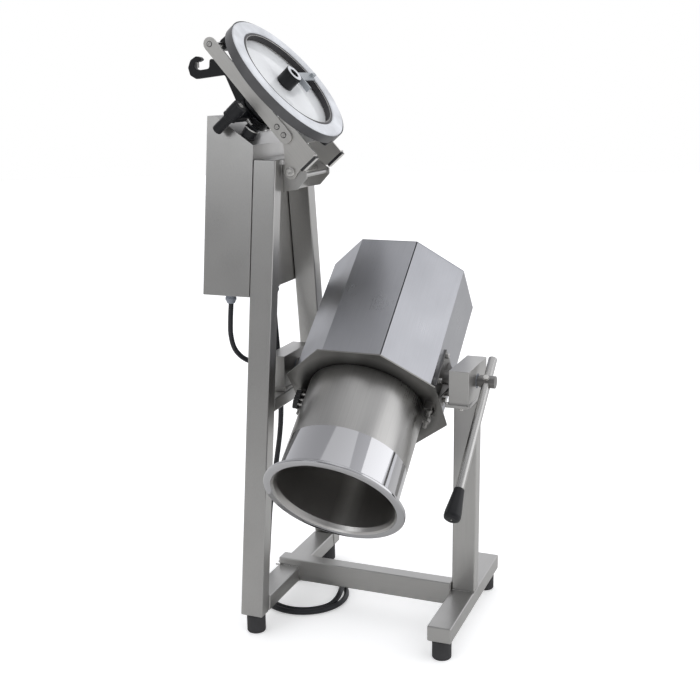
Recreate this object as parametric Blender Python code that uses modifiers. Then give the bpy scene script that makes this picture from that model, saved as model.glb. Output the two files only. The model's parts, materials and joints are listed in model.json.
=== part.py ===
"""Tilting vertical cutter mixer on a floor stand.

A stainless bowl and its motor housing turn on two trunnions between an A-frame and a
column.  A windowed lid with a hand-turned scraper swings on the A-frame's top, and a
control box hangs on its outer side.

Design frame: metres, +Z up, X along the tilt axis, the bowl's centre at x = 0 and the
tilt axis at y = 0.  The whole design is shifted so that the origin is the centre of
the bounding box, on the floor.
"""
from math import atan2, cos, pi, radians, sin, tan

import bmesh
import bpy
from mathutils import Matrix, Vector

# ---------------------------------------------------------------- driving dimensions
GAP = 0.0003                   # clearance left between touching pieces
SHIFT = (0.0945, 0.0344, 0.0)  # design frame to object origin

FOOT_HEIGHT = 0.050
FOOT_RADIUS = 0.024
TUBE_WIDE = 0.060              # stand tube, along X
TUBE_DEEP = 0.040
TUBE_WALL = 0.002
INNER = 0.2135                 # half the clear width between the stand's two sides
OUTER = INNER + TUBE_WIDE
FRAME_TOP = 1.1886
LEAN = 0.1329                  # inward lean of the legs, metres per metre
LEG_FOOT = 0.265               # half spread of the legs at the rail's underside
RIGHT_RAIL_HALF = 0.233
CROSS_FRONT, CROSS_BACK = -0.030, 0.010
CROSS_TOP = 0.110

TILT_Z = 0.6485
POUR = 129.4                   # tilt of the bowl at rest, degrees from upright
BLOCK_HALF = 0.083             # bearing housing, half length along Y
BLOCK_IN, BLOCK_OUT = 0.2178, 0.2684
BLOCK_LOW, BLOCK_HIGH = 0.6077, 0.6906
PLATE = 0.008

BOWL_R = 0.149
BOWL_WALL = 0.002
BOWL_FLOOR = 0.100             # distances along the bowl's axis from the tilt axis
BOWL_RIM = 0.385
RIM_R = 0.1755
LIP_R = 0.156
COLLAR_LOW, COLLAR_HIGH = 0.084, 0.088
COLLAR_FLAT = 0.195            # octagon, centre to flat
HOUSING_FLAT = 0.180
HOUSING_END = -0.2886
SHEET = 0.0015
SHAFT_R = 0.0125

HINGE_X, HINGE_Z = -0.1894, 1.1574
LID_OPEN = 131.2               # lid swing, degrees
LID_REACH = 0.1894             # hinge to lid centre
RING_FACE = -0.1234            # heights in the lid's own frame, from its hinge
RING_BACK = -0.0974
RING_R = 0.186
WINDOW_R = 0.147
ARM_LEVEL = -0.048
ARM_REACH = 0.3665
ARM_HALF = 0.017
BEAM_DEEP = 0.034
PLATE_IN, PLATE_OUT = 0.0745, 0.0795

BOX_LEFT, BOX_RIGHT = -0.4025, -0.2742
BOX_LOW, BOX_HIGH = 0.8545, 1.2920
BOX_SHOULDER_X, BOX_SLOPE_LOW = -0.3780, 1.2225

LEVER_X = 0.292
LEVER_R = 0.011
MAINS_R = 0.007
COIL_CENTRE = (-0.203, -0.015)
COIL_RADII = (0.091, 0.119)

# ---------------------------------------------------------------- scene set-up
for old in list(bpy.data.objects):
    bpy.data.objects.remove(old, do_unlink=True)


def collection(name):
    made = bpy.data.collections.new(name)
    bpy.context.scene.collection.children.link(made)
    return made


PARTS = collection("tilting_cutter_mixer")
CUTTERS = collection("cutters")

FINISHES = {                   # colour, roughness, metallic
    "brushed_steel": ((0.62, 0.61, 0.59), 0.34, 1.0),
    "bowl_steel": ((0.70, 0.69, 0.67), 0.22, 1.0),
    "dark_steel": ((0.30, 0.29, 0.28), 0.38, 1.0),
    "black_plastic": ((0.025, 0.026, 0.028), 0.45, 0.0),
    "black_rubber": ((0.02, 0.02, 0.02), 0.75, 0.0),
    "white_plastic": ((0.80, 0.82, 0.85), 0.35, 0.0),
    "grey_plastic": ((0.30, 0.31, 0.32), 0.55, 0.0),
    "clear_plastic": ((0.86, 0.90, 0.92), 0.08, 0.0),
    "cable_black": ((0.03, 0.03, 0.032), 0.60, 0.0),
}


def finish(obj, look):
    """Give the object its own Principled material."""
    colour, roughness, metallic = FINISHES[look]
    material = bpy.data.materials.new(obj.name + "_" + look)
    material.use_nodes = True
    shader = material.node_tree.nodes["Principled BSDF"]
    shader.inputs["Base Color"].default_value = (*colour, 1.0)
    shader.inputs["Roughness"].default_value = roughness
    shader.inputs["Metallic"].default_value = metallic
    obj.data.materials.clear()
    obj.data.materials.append(material)
    return obj


def empty(name, location, rotation=(0, 0, 0), parent=None):
    made = bpy.data.objects.new(name, None)
    made.location = location
    made.rotation_euler = rotation
    made.parent = parent
    PARTS.objects.link(made)
    return made


def add(name, mesh, parent, location=(0, 0, 0), rotation=(0, 0, 0)):
    made = bpy.data.objects.new(name, mesh)
    made.location = location
    made.rotation_euler = rotation
    made.parent = parent
    PARTS.objects.link(made)
    return made


def smooth(obj, angle=30):
    obj.data.shade_smooth()
    obj.data.set_sharp_from_angle(angle=radians(angle))
    return obj


# ---------------------------------------------------------------- shape makers
def box(name, low, high, parent=None):
    """A block between two corners, its origin at its middle."""
    size = [b - a for a, b in zip(low, high)]
    middle = [(a + b) / 2 for a, b in zip(low, high)]
    mesh = bpy.data.meshes.new(name)
    bm = bmesh.new()
    bmesh.ops.create_cube(bm, size=1.0)
    bmesh.ops.scale(bm, vec=size, verts=bm.verts)
    bm.to_mesh(mesh)
    bm.free()
    return add(name, mesh, parent, middle)


def rod(name, start, end, radius, parent=None, sides=24, end_radius=None):
    """A round bar, or a cone with end_radius, from start to end."""
    start, end = Vector(start), Vector(end)
    axis = end - start
    mesh = bpy.data.meshes.new(name)
    bm = bmesh.new()
    bmesh.ops.create_cone(bm, cap_ends=True, segments=sides, radius1=radius,
                          radius2=end_radius or radius, depth=axis.length)
    bm.to_mesh(mesh)
    bm.free()
    turn = axis.to_track_quat("Z", "Y").to_euler()
    return smooth(add(name, mesh, parent, (start + end) / 2, turn))


def turned(name, profile, parent=None, location=(0, 0, 0), rotation=(0, 0, 0), sides=48):
    """A closed (radius, height) outline turned round Z, outer side first, top to bottom."""
    mesh = bpy.data.meshes.new(name)
    count = len(profile)
    mesh.from_pydata([(r, 0, z) for r, z in profile],
                     [(i, (i + 1) % count) for i in range(count)], [])
    made = add(name, mesh, parent, location, rotation)
    screw = made.modifiers.new("turn", "SCREW")
    screw.steps = screw.render_steps = sides
    screw.use_merge_vertices = True
    screw.merge_threshold = 0.00001
    screw.use_smooth_shade = False
    return made


# plane name: rotation that lays a flat outline's own X, Y along the two named axes
PLANES = {"XY": (0, 0, 0), "XZ": (pi / 2, 0, 0), "YZ": (pi / 2, 0, pi / 2)}


def outline_mesh(name, outline, thickness, plane="XY", offset=0.0):
    """A flat outline with straight sides, filled and given a thickness, as a mesh.

    In plane XY the thickness lies along Z, in XZ along Y and in YZ along X, centred on
    offset.
    """
    curve = bpy.data.curves.new(name, "CURVE")
    curve.dimensions = "2D"
    curve.fill_mode = "BOTH"
    curve.extrude = thickness / 2
    spline = curve.splines.new("POLY")
    spline.points.add(len(outline) - 1)
    for point, (a, b) in zip(spline.points, outline):
        point.co = (a, b, 0, 1)
    spline.use_cyclic_u = True
    holder = bpy.data.objects.new(name, curve)
    PARTS.objects.link(holder)
    mesh = bpy.data.meshes.new_from_object(
        holder.evaluated_get(bpy.context.evaluated_depsgraph_get()))
    bpy.data.objects.remove(holder)
    bpy.data.curves.remove(curve)
    mesh.name = name
    bm = bmesh.new()
    bm.from_mesh(mesh)
    bmesh.ops.remove_doubles(bm, verts=bm.verts, dist=0.00001)
    side = {"XY": (0, 0, offset), "XZ": (0, offset, 0), "YZ": (offset, 0, 0)}[plane]
    turn = bpy.data.objects.new("turn", None)
    turn.rotation_euler = PLANES[plane]
    matrix = turn.rotation_euler.to_matrix().to_4x4()
    bpy.data.objects.remove(turn)
    bmesh.ops.transform(bm, matrix=Matrix.Translation(side) @ matrix, verts=bm.verts)
    bmesh.ops.recalc_face_normals(bm, faces=bm.faces)
    bm.to_mesh(mesh)
    bm.free()
    return mesh


def plate(name, outline, thickness, plane, offset, parent=None):
    return add(name, outline_mesh(name, outline, thickness, plane, offset), parent)


def wire(name, points, radius, parent=None, resolution=3, smoothing=6):
    """A round cable on a smooth curve through the points."""
    curve = bpy.data.curves.new(name, "CURVE")
    curve.dimensions = "3D"
    curve.bevel_depth = radius
    curve.bevel_resolution = resolution
    curve.use_fill_caps = True
    route = smooth_route(points, smoothing)
    spline = curve.splines.new("POLY")
    spline.points.add(len(route) - 1)
    for point, place in zip(spline.points, route):
        point.co = (*place, 1)
    return add(name, curve, parent)


def smooth_route(points, steps):
    """Points on a centripetal Catmull-Rom curve through the given ones."""
    points = [Vector(p) for p in points]
    points = [2 * points[0] - points[1]] + points + [2 * points[-1] - points[-2]]
    route = []
    for p0, p1, p2, p3 in zip(points, points[1:], points[2:], points[3:]):
        t1 = (p1 - p0).length ** 0.5
        t2 = t1 + (p2 - p1).length ** 0.5
        t3 = t2 + (p3 - p2).length ** 0.5
        for step in range(steps):
            t = t1 + (t2 - t1) * step / steps
            a1 = p0 * ((t1 - t) / t1) + p1 * (t / t1)
            a2 = p1 * ((t2 - t) / (t2 - t1)) + p2 * ((t - t1) / (t2 - t1))
            a3 = p2 * ((t3 - t) / (t3 - t2)) + p3 * ((t - t2) / (t3 - t2))
            b1 = a1 * ((t2 - t) / t2) + a2 * (t / t2)
            b2 = a2 * ((t3 - t) / (t3 - t1)) + a3 * ((t - t1) / (t3 - t1))
            route.append(b1 * ((t2 - t) / (t2 - t1)) + b2 * ((t - t1) / (t2 - t1)))
    route.append(points[-2])
    return route


def combine(target, others, operation):
    """Cut the others from the target, or join them to it, and apply the result."""
    for other in others:
        other.parent = target.parent
        step = target.modifiers.new(operation.lower(), "BOOLEAN")
        step.operation = operation
        step.solver = "EXACT"
        step.object = other
    bpy.context.view_layer.update()
    mesh = bpy.data.meshes.new_from_object(
        target.evaluated_get(bpy.context.evaluated_depsgraph_get()))
    target.modifiers.clear()
    tidy = bmesh.new()
    tidy.from_mesh(mesh)
    bmesh.ops.remove_doubles(tidy, verts=tidy.verts, dist=0.000002)
    bmesh.ops.dissolve_degenerate(tidy, edges=tidy.edges, dist=0.000002)
    tidy.to_mesh(mesh)
    tidy.free()
    target.data = mesh
    for other in others:
        bpy.data.objects.remove(other)
    return target


def cut(target, *cutters):
    return combine(target, cutters, "DIFFERENCE")


def join(target, *others):
    return combine(target, others, "UNION")


def octagon(flat, start=0, count=8):
    """Corners of an octagon whose flats face the axes, from the one nearest +X, +Y."""
    corner = flat / cos(pi / 8)
    return [(corner * cos(pi / 8 + k * pi / 4), corner * sin(pi / 8 + k * pi / 4))
            for k in range(start, start + count)]


def arc(centre, radius, first, last, steps):
    """Points on an arc, angles in degrees."""
    return [(centre[0] + radius * cos(radians(first + (last - first) * k / steps)),
             centre[1] + radius * sin(radians(first + (last - first) * k / steps)))
            for k in range(steps + 1)]


def slot_bar(start, end, half, steps=8):
    """Outline of a flat bar with round ends."""
    angle = atan2(end[1] - start[1], end[0] - start[0]) * 180 / pi
    return (arc(end, half, angle - 90, angle + 90, steps)
            + arc(start, half, angle + 90, angle + 270, steps))


# ---------------------------------------------------------------- joint frames
stand = empty("stand", SHIFT)
bowl_axis = empty("bowl_axis", (0, 0, TILT_Z), (radians(POUR), 0, 0), stand)
lid_axis = empty("lid_axis", (HINGE_X, 0, HINGE_Z), (0, -radians(LID_OPEN), 0), stand)
scraper_axis = empty("scraper_axis", (LID_REACH, 0, 0), (0, 0, 0), lid_axis)


# ---------------------------------------------------------------- stand
def leg_front(z):
    """Distance of a leg's outer face from the middle of the stand at height z."""
    return LEG_FOOT - LEAN * (z - FOOT_HEIGHT)


def leg(name, side):
    """A leaning tube, open at its foot; side is -1 at the front and 1 at the rear."""
    def outline(inset, low, high):
        return [(side * (leg_front(z) - cut_in), z)
                for cut_in, z in ((inset, low), (TUBE_DEEP - inset, low),
                                  (TUBE_DEEP - inset, high), (inset, high))]
    middle = -(INNER + OUTER) / 2
    made = plate(name, outline(0, FOOT_HEIGHT, FRAME_TOP), TUBE_WIDE, "YZ", middle, stand)
    hollow = plate("hollow", outline(TUBE_WALL, FOOT_HEIGHT - 0.01, FRAME_TOP - TUBE_WALL),
                   TUBE_WIDE - 2 * TUBE_WALL, "YZ", middle)
    return finish(cut(made, hollow), "brushed_steel")


def tube(name, low, high, open_axis):
    """A straight rectangular tube along X, Y or Z, closed at its lower end."""
    axis = "XYZ".index(open_axis)
    low_in = [v + TUBE_WALL for v in low]
    high_in = [v - (-0.01 if k == axis else TUBE_WALL) for k, v in enumerate(high)]
    return finish(cut(box(name, low, high, stand), box("hollow", low_in, high_in)),
                  "brushed_steel")


RAIL_TOP = FOOT_HEIGHT + TUBE_DEEP
leg("left_front_leg", -1)
leg("left_rear_leg", 1)
top_half = leg_front(FRAME_TOP - TUBE_DEEP) - TUBE_DEEP - GAP
rail = plate("left_top_rail",
             [(-top_half, FRAME_TOP - TUBE_DEEP), (top_half, FRAME_TOP - TUBE_DEEP),
              (leg_front(FRAME_TOP) - TUBE_DEEP - GAP, FRAME_TOP),
              (-leg_front(FRAME_TOP) + TUBE_DEEP + GAP, FRAME_TOP)],
             TUBE_WIDE, "YZ", -(INNER + OUTER) / 2, stand)
cut(rail, box("hollow", (-OUTER + TUBE_WALL, -0.2, FRAME_TOP - TUBE_DEEP + TUBE_WALL),
              (-INNER - TUBE_WALL, 0.2, FRAME_TOP - TUBE_WALL)))
finish(rail, "brushed_steel")

# The left base rail runs between the legs, notched where the cross member sits on it.
rail_half = leg_front(RAIL_TOP) - TUBE_DEEP - GAP
base = tube("left_base_rail", (-OUTER, -rail_half, FOOT_HEIGHT),
            (-INNER, rail_half, RAIL_TOP), "Y")
tube("right_base_rail", (INNER, -RIGHT_RAIL_HALF, FOOT_HEIGHT),
     (OUTER, RIGHT_RAIL_HALF, RAIL_TOP), "Y")
cross = tube("cross_member", (-OUTER, CROSS_FRONT, FOOT_HEIGHT),
             (INNER - GAP, CROSS_BACK, CROSS_TOP), "X")
cut(cross, box("notch", (-OUTER - 0.01, CROSS_FRONT - 0.01, FOOT_HEIGHT - 0.01),
               (-INNER + GAP, CROSS_BACK + 0.01, RAIL_TOP + GAP)))
finish(cross, "brushed_steel")
column_half = TUBE_DEEP / 2
tube("right_column", (INNER, -column_half, RAIL_TOP + GAP),
     (OUTER, column_half, BLOCK_LOW - PLATE - GAP), "Z")
beam_top = BLOCK_LOW - PLATE - GAP
beam_low = beam_top - BEAM_DEEP
beam_half = leg_front(beam_top) - TUBE_DEEP - GAP
beam = plate("left_bearing_beam",
             [(-leg_front(beam_low) + TUBE_DEEP + GAP, beam_low),
              (leg_front(beam_low) - TUBE_DEEP - GAP, beam_low),
              (beam_half, beam_top), (-beam_half, beam_top)],
             TUBE_WIDE, "YZ", -(INNER + OUTER) / 2, stand)
cut(beam, box("hollow", (-OUTER + TUBE_WALL, -0.3, beam_low + TUBE_WALL),
              (-INNER - TUBE_WALL, 0.3, beam_top - TUBE_WALL)))
finish(beam, "brushed_steel")

foot_profile = [(FOOT_RADIUS * 0.92, FOOT_HEIGHT - GAP), (FOOT_RADIUS, FOOT_HEIGHT - 0.004),
                (FOOT_RADIUS, 0.004), (FOOT_RADIUS * 0.93, 0.0), (0.003, 0.0),
                (0.003, FOOT_HEIGHT - GAP)]
foot_x = (INNER + OUTER) / 2
left_foot_y = LEG_FOOT - 0.028
right_foot_y = RIGHT_RAIL_HALF - 0.027
for name, x, y in (("foot_left_front", -foot_x, -left_foot_y),
                   ("foot_left_rear", -foot_x, left_foot_y),
                   ("foot_right_front", foot_x, -right_foot_y),
                   ("foot_right_rear", foot_x, right_foot_y)):
    finish(turned(name, foot_profile, stand, (x, y, 0), sides=20), "black_rubber")

# ---------------------------------------------------------------- trunnion bearings
for name, side in (("bearing_housing_left", -1), ("bearing_housing_right", 1)):
    near, far = sorted((side * BLOCK_IN, side * BLOCK_OUT))
    block = box(name, (near, -BLOCK_HALF, BLOCK_LOW - 0.001), (far, BLOCK_HALF, BLOCK_HIGH),
                stand)
    sole = box("sole", (near - 0.006, -BLOCK_HALF - 0.008, BLOCK_LOW - PLATE),
               (far + 0.003, BLOCK_HALF + 0.008, BLOCK_LOW))
    join(block, sole)
    cut(block, rod("bore", (near - 0.02, 0, TILT_Z), (far + 0.02, 0, TILT_Z),
                   SHAFT_R + 0.006, sides=32))
    finish(block, "brushed_steel")
    bush = [(SHAFT_R + 0.006 - GAP, BLOCK_OUT), (SHAFT_R + 0.006 - GAP, BLOCK_IN),
            (SHAFT_R + 0.0002, BLOCK_IN), (SHAFT_R + 0.0002, BLOCK_OUT)]
    finish(turned(name.replace("housing", "bush"), bush, stand, (0, 0, TILT_Z),
                  (0, side * pi / 2, 0), sides=24), "grey_plastic")

# ---------------------------------------------------------------- bowl and motor housing
bowl_profile = [(RIM_R - 0.002, BOWL_RIM), (RIM_R, BOWL_RIM - 0.002), (RIM_R, BOWL_RIM - 0.008),
                (RIM_R - 0.002, BOWL_RIM - 0.010), (BOWL_R + 0.006, BOWL_RIM - 0.010),
                (BOWL_R, BOWL_RIM - 0.016), (BOWL_R, COLLAR_HIGH + GAP),
                (BOWL_R - BOWL_WALL, COLLAR_HIGH + GAP), (BOWL_R - BOWL_WALL, BOWL_FLOOR - 0.003),
                (0.020, BOWL_FLOOR - 0.003), (0.020, BOWL_FLOOR),
                (BOWL_R - 0.012, BOWL_FLOOR), (BOWL_R - 0.005, BOWL_FLOOR + 0.003),
                (BOWL_R - BOWL_WALL, BOWL_FLOOR + 0.010), (BOWL_R - BOWL_WALL, BOWL_RIM - 0.016),
                (LIP_R - 0.005, BOWL_RIM - 0.005), (LIP_R, BOWL_RIM)]
finish(turned("bowl", bowl_profile, bowl_axis, sides=40), "bowl_steel")

collar = plate("collar_plate", octagon(COLLAR_FLAT), COLLAR_HIGH - COLLAR_LOW, "XY",
               (COLLAR_LOW + COLLAR_HIGH) / 2, bowl_axis)
cut(collar, rod("bore", (0, 0, COLLAR_LOW - 0.01), (0, 0, COLLAR_HIGH + 0.01), 0.020))


def cover(name, start):
    """Half of the octagonal housing: four flats, with a hole for one trunnion."""
    corners = octagon(HOUSING_FLAT, start, 5)
    mesh = bpy.data.meshes.new(name)
    bm = bmesh.new()
    rows = []
    for k, (x, y) in enumerate(corners):
        if k in (0, 4):        # the two covers stop short of each other at the seams
            towards = Vector(corners[1 if k == 0 else 3]) - Vector((x, y))
            x, y = Vector((x, y)) + towards.normalized() * SHEET
        rows.append([bm.verts.new((x, y, z)) for z in (HOUSING_END + GAP, COLLAR_LOW - GAP)])
    for (a, b), (c, d) in zip(rows, rows[1:]):
        bm.faces.new((a, c, d, b))
    bm.to_mesh(mesh)
    bm.free()
    made = add(name, mesh, bowl_axis)
    shell = made.modifiers.new("sheet", "SOLIDIFY")
    shell.thickness = SHEET
    shell.offset = -1
    shell.use_even_offset = True
    side = 1 if start < 0 else -1
    cut(made, rod("hole", (side * (HOUSING_FLAT - 0.02), 0, 0),
                  (side * (HOUSING_FLAT + 0.02), 0, 0), SHAFT_R + 0.003))
    return finish(made, "brushed_steel")


cover("housing_cover_right", -3)
cover("housing_cover_left", 1)
cap = plate("housing_end_cap", octagon(HOUSING_FLAT), 0.002, "XY", HOUSING_END - 0.001,
            bowl_axis)
finish(cap, "brushed_steel")

MOTOR_TOP = COLLAR_LOW - GAP
motor_profile = [(0.115, MOTOR_TOP), (0.115, 0.0710), (0.082, 0.0710),
                 (0.082, -0.1700), (0.088, -0.1750), (0.088, -0.2350), (0.075, -0.2450),
                 (0.020, -0.2450), (0.020, -0.2300), (0.0145, -0.2300), (0.0145, MOTOR_TOP)]
finish(turned("motor", motor_profile, bowl_axis, sides=24), "grey_plastic")


def trunnion(name, side, end):
    """Bolted bracket, gusset and stub shaft on one side of the housing."""
    x0, x1 = HOUSING_FLAT + GAP, HOUSING_FLAT + 0.004
    base_plate = plate(name, [(-0.045, -0.055), (0.045, -0.055), (0.045, 0.055), (0.020, 0.072),
                              (-0.020, 0.072), (-0.045, 0.055)],
                       x1 - x0, "YZ", side * (x0 + x1) / 2, bowl_axis)
    rib_end = side * (HOUSING_FLAT + 0.030)
    rib = plate("rib", [(side * (x1 - 0.001), 0.066), (side * (x1 - 0.001), -0.050), (rib_end, -0.012),
                        (rib_end, 0.012)], 0.006, "XZ", 0.0)
    boss = rod("boss", (side * (x1 - 0.001), 0, 0), (side * (HOUSING_FLAT + 0.034), 0, 0), 0.021,
               sides=28)
    shaft = rod("shaft", (side * (x1 - 0.001), 0, 0), (side * end, 0, 0), SHAFT_R, sides=28)
    return join(base_plate, rib, boss, shaft)


left_trunnion = trunnion("trunnion_left", -1, OUTER + 0.004)
cut(left_trunnion, rod("cable_way", (-0.17, 0, 0), (-OUTER - 0.02, 0, 0), MAINS_R + 0.0005,
                       sides=16))
finish(left_trunnion, "dark_steel")
right_trunnion = trunnion("trunnion_right", 1, BLOCK_OUT + 0.010)
join(right_trunnion, rod("head", (BLOCK_OUT + 0.006, 0, 0), (0.3135, 0, 0), 0.0155, sides=32))
cut(right_trunnion, rod("cross_hole", (LEVER_X, 0, -0.03), (LEVER_X, 0, 0.03), LEVER_R + GAP,
                        sides=24))

lever = rod("tilt_lever", (LEVER_X, 0, -0.071), (LEVER_X, 0, 0.309), LEVER_R, bowl_axis)
finish(lever, "brushed_steel")
grip_profile = [(0.012, 0.392), (0.0185, 0.390), (0.0205, 0.384), (0.0200, 0.372),
                (0.0155, 0.335), (0.0130, 0.318), (0.0130, 0.3093), (0.002, 0.3093),
                (0.002, 0.392)]
finish(turned("lever_grip", grip_profile, bowl_axis, (LEVER_X, 0, 0), sides=18),
       "black_plastic")

# Spring plunger that locks the tilt, in its barrel beside the right trunnion.
PLUNGER_Y, PLUNGER_S = -0.026, 0.022
join(right_trunnion, rod("barrel", (HOUSING_FLAT + 0.0035, PLUNGER_Y, PLUNGER_S),
                         (0.2005, PLUNGER_Y, PLUNGER_S), 0.012, sides=20))
cut(right_trunnion, rod("barrel_bore", (HOUSING_FLAT + 0.0045, PLUNGER_Y, PLUNGER_S),
                        (0.2105, PLUNGER_Y, PLUNGER_S), 0.0093, sides=20))
finish(right_trunnion, "dark_steel")
plunger = rod("index_plunger", (0.1905, PLUNGER_Y, PLUNGER_S), (0.2040, PLUNGER_Y, PLUNGER_S),
              0.009, bowl_axis, sides=20)
join(plunger, rod("tip", (0.203, PLUNGER_Y, PLUNGER_S), (0.2110, PLUNGER_Y, PLUNGER_S), 0.0035,
                  sides=16))
finish(plunger, "black_plastic")

# Swing latches that hold the bowl down on the collar.
LATCH_Z = 0.100
for name, side in (("latch_left", -1), ("latch_right", 1)):
    pivot = empty(name + "_axis", (side * 0.168, 0, LATCH_Z), (0, 0, 0), bowl_axis)
    post = box("post", (side * 0.168 - 0.010, -0.020, COLLAR_HIGH - 0.001),
               (side * 0.168 + 0.010, 0.020, LATCH_Z + 0.008))
    join(collar, post)
    cut(collar, box("slot", (side * 0.168 - 0.02, -0.009, COLLAR_HIGH + 0.003),
                    (side * 0.168 + 0.02, 0.009, LATCH_Z + 0.02)))
    stem = rod(name, (0, 0, -0.0065), (0, 0, 0.052), 0.005, pivot, sides=16)
    join(stem, rod("eye", (0, -0.0085, 0), (0, 0.0085, 0), 0.0075, sides=16),
         rod("nut", (0, 0, 0.026), (0, 0, 0.040), 0.0105, sides=6))
    finish(stem, "dark_steel")

finish(collar, "dark_steel")

# ---------------------------------------------------------------- knives
shaft_profile = [(0.026, 0.172), (0.030, 0.166), (0.030, 0.104), (0.0140, 0.104),
                 (0.0140, -0.2290), (0.003, -0.2290), (0.003, 0.172)]
finish(turned("motor_shaft", shaft_profile, bowl_axis, sides=20), "bowl_steel")


def knife(name, level, turn):
    """Two swept blades on a ring round the knife hub."""
    def blade(start):
        outer = [(r, start + sweep) for r, sweep in ((0.036, 12), (0.080, 26), (0.120, 48),
                                                     (0.138, 66))]
        inner = [(r, start + sweep) for r, sweep in ((0.138, 60), (0.115, 28), (0.076, -2),
                                                     (0.036, -22))]
        return [(r * cos(radians(a)), r * sin(radians(a))) for r, a in outer + inner]
    made = plate(name, arc((0, 0), 0.042, 0, 342, 19), 0.005, "XY", level, bowl_axis)
    join(made, plate("blade_a", blade(turn), 0.003, "XY", level),
         plate("blade_b", blade(turn + 180), 0.003, "XY", level))
    cut(made, rod("bore", (0, 0, level - 0.02), (0, 0, level + 0.02), 0.030 + GAP, sides=28))
    return finish(made, "bowl_steel")


knife("knife_lower", 0.1125, 0)
knife("knife_upper", 0.1500, 90)

# ---------------------------------------------------------------- lid
ring_profile = [(RING_R - 0.003, RING_BACK), (RING_R, RING_BACK - 0.003),
                (RING_R, RING_FACE + 0.004), (RING_R - 0.004, RING_FACE),
                (WINDOW_R + 0.002, RING_FACE), (WINDOW_R, RING_FACE + 0.002),
                (WINDOW_R, RING_BACK)]
lid_centre = (LID_REACH, 0, 0)
finish(turned("lid_ring", ring_profile, lid_axis, lid_centre, sides=40), "white_plastic")
gasket_profile = [(WINDOW_R - GAP, -0.1016), (WINDOW_R - GAP, -0.1210), (WINDOW_R - 0.0035, -0.1222),
                  (WINDOW_R - 0.0070, -0.1210), (WINDOW_R - 0.0060, -0.1016)]
finish(turned("lid_gasket", gasket_profile, lid_axis, lid_centre, sides=40), "black_rubber")
window_profile = [(WINDOW_R - GAP, RING_BACK), (WINDOW_R - GAP, -0.1013), (0.0135, -0.1013),
                  (0.0135, RING_BACK)]
finish(turned("lid_window", window_profile, lid_axis, lid_centre, sides=40), "clear_plastic")

bridge = plate("lid_bridge", slot_bar((0.022, 0), (0.357, 0), 0.018), 0.012, "XY",
               RING_BACK + GAP + 0.006, lid_axis)
join(bridge, plate("yoke", [(0.318, -0.090), (0.375, -0.090), (0.379, -0.050), (0.376, -0.036),
                            (0.357, -0.034), (0.350, -0.060), (0.318, -0.078)], 0.030, "XZ", 0.0))
cut(bridge, rod("shaft_hole", (LID_REACH, 0, -0.2), (LID_REACH, 0, 0.01), 0.0120, sides=20),
    rod("rod_hole", (ARM_REACH, -0.03, -0.046), (ARM_REACH, 0.03, -0.046), 0.0062, sides=16))
finish(bridge, "black_plastic")
finish(rod("arm_end_rod", (ARM_REACH, -PLATE_OUT, -0.046), (ARM_REACH, PLATE_OUT, -0.046),
           0.0059, lid_axis, sides=16), "brushed_steel")

HUB_LOW, HUB_TOP = RING_BACK + 0.0126, -0.0005
hub_profile = [(0.040, HUB_TOP), (0.044, HUB_TOP - 0.004), (0.044, -0.034), (0.034, -0.046),
               (0.034, HUB_LOW), (0.0120, HUB_LOW), (0.0120, HUB_TOP)]
finish(turned("scraper_hub", hub_profile, lid_axis, lid_centre, sides=28), "black_plastic")


def side_plate(name, side):
    """Dog-leg plate from the hinge to one lid arm, with the flange for its stop pad."""
    outline = arc((0, 0), 0.018, 20, 215, 10) + [
        (-0.014, -0.026), (-0.014, -0.080), (0.110, -0.078), (0.119, -0.068), (0.119, -0.037),
        (0.112, -0.030), (0.062, -0.030), (0.024, -0.002)]
    middle = side * (PLATE_IN + PLATE_OUT) / 2
    made = plate(name, outline, PLATE_OUT - PLATE_IN, "XZ", middle, lid_axis)
    low, high = sorted((side * PLATE_IN, side * (PLATE_OUT + 0.016)))
    join(made, box("flange", (-0.016, low, -0.0795), (-0.0125, high, -0.0265)))
    cut(made, rod("eye", (0, middle - 0.02, 0), (0, middle + 0.02, 0), 0.0074, sides=20))
    return finish(made, "brushed_steel")


for name, side in (("front", -1), ("rear", 1)):
    side_plate("lid_side_plate_" + name, side)
    bar = plate("lid_arm_" + name, slot_bar((0.070, ARM_LEVEL), (ARM_REACH, ARM_LEVEL + 0.002),
                                            ARM_HALF),
                0.006, "XZ", side * (PLATE_OUT + GAP + 0.003), lid_axis)
    finish(bar, "brushed_steel")

# ---------------------------------------------------------------- scraper, turned by hand
spindle = [(0.0100, 0.0000), (0.0100, -0.1020), (0.0235, -0.1020), (0.0235, -0.1400),
           (0.0110, -0.1400), (0.0110, -0.1250), (0.002, -0.1250), (0.002, 0.0000)]
finish(turned("scraper_spindle", spindle, scraper_axis, sides=20), "black_plastic")
CRANK_REACH = 0.130
crank = turned("scraper_crank", [(0.0435, 0.0235), (0.0455, 0.0215), (0.0455, 0.0003),
                                 (0.003, 0.0003), (0.003, 0.0235)], scraper_axis, sides=32)
join(crank, plate("arm", slot_bar((0, 0), (0, -CRANK_REACH), 0.017), 0.015, "XY", 0.0088),
     rod("boss", (0, -CRANK_REACH, -0.026), (0, -CRANK_REACH, 0.0163), 0.0185, sides=24))
hook_outline = [(0.0240, 0.0110), (0.0560, 0.0240), (0.1230, 0.0040), (0.1700, 0.0720),
                (0.1880, 0.0785), (0.2060, 0.0700), (0.2150, 0.0520), (0.2120, 0.0340),
                (0.2010, 0.0260), (0.1930, 0.0270), (0.1960, 0.0380), (0.2030, 0.0450),
                (0.1980, 0.0540), (0.1880, 0.0560), (0.1800, 0.0500), (0.1640, 0.0260),
                (0.1820, 0.0080), (0.1560, -0.0100), (0.1100, -0.0220), (0.0460, -0.0120),
                (0.0460, 0.0006), (0.0240, 0.0006)]
join(crank, plate("hook", hook_outline, 0.016, "XZ", 0.0))
finish(crank, "black_plastic")
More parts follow.
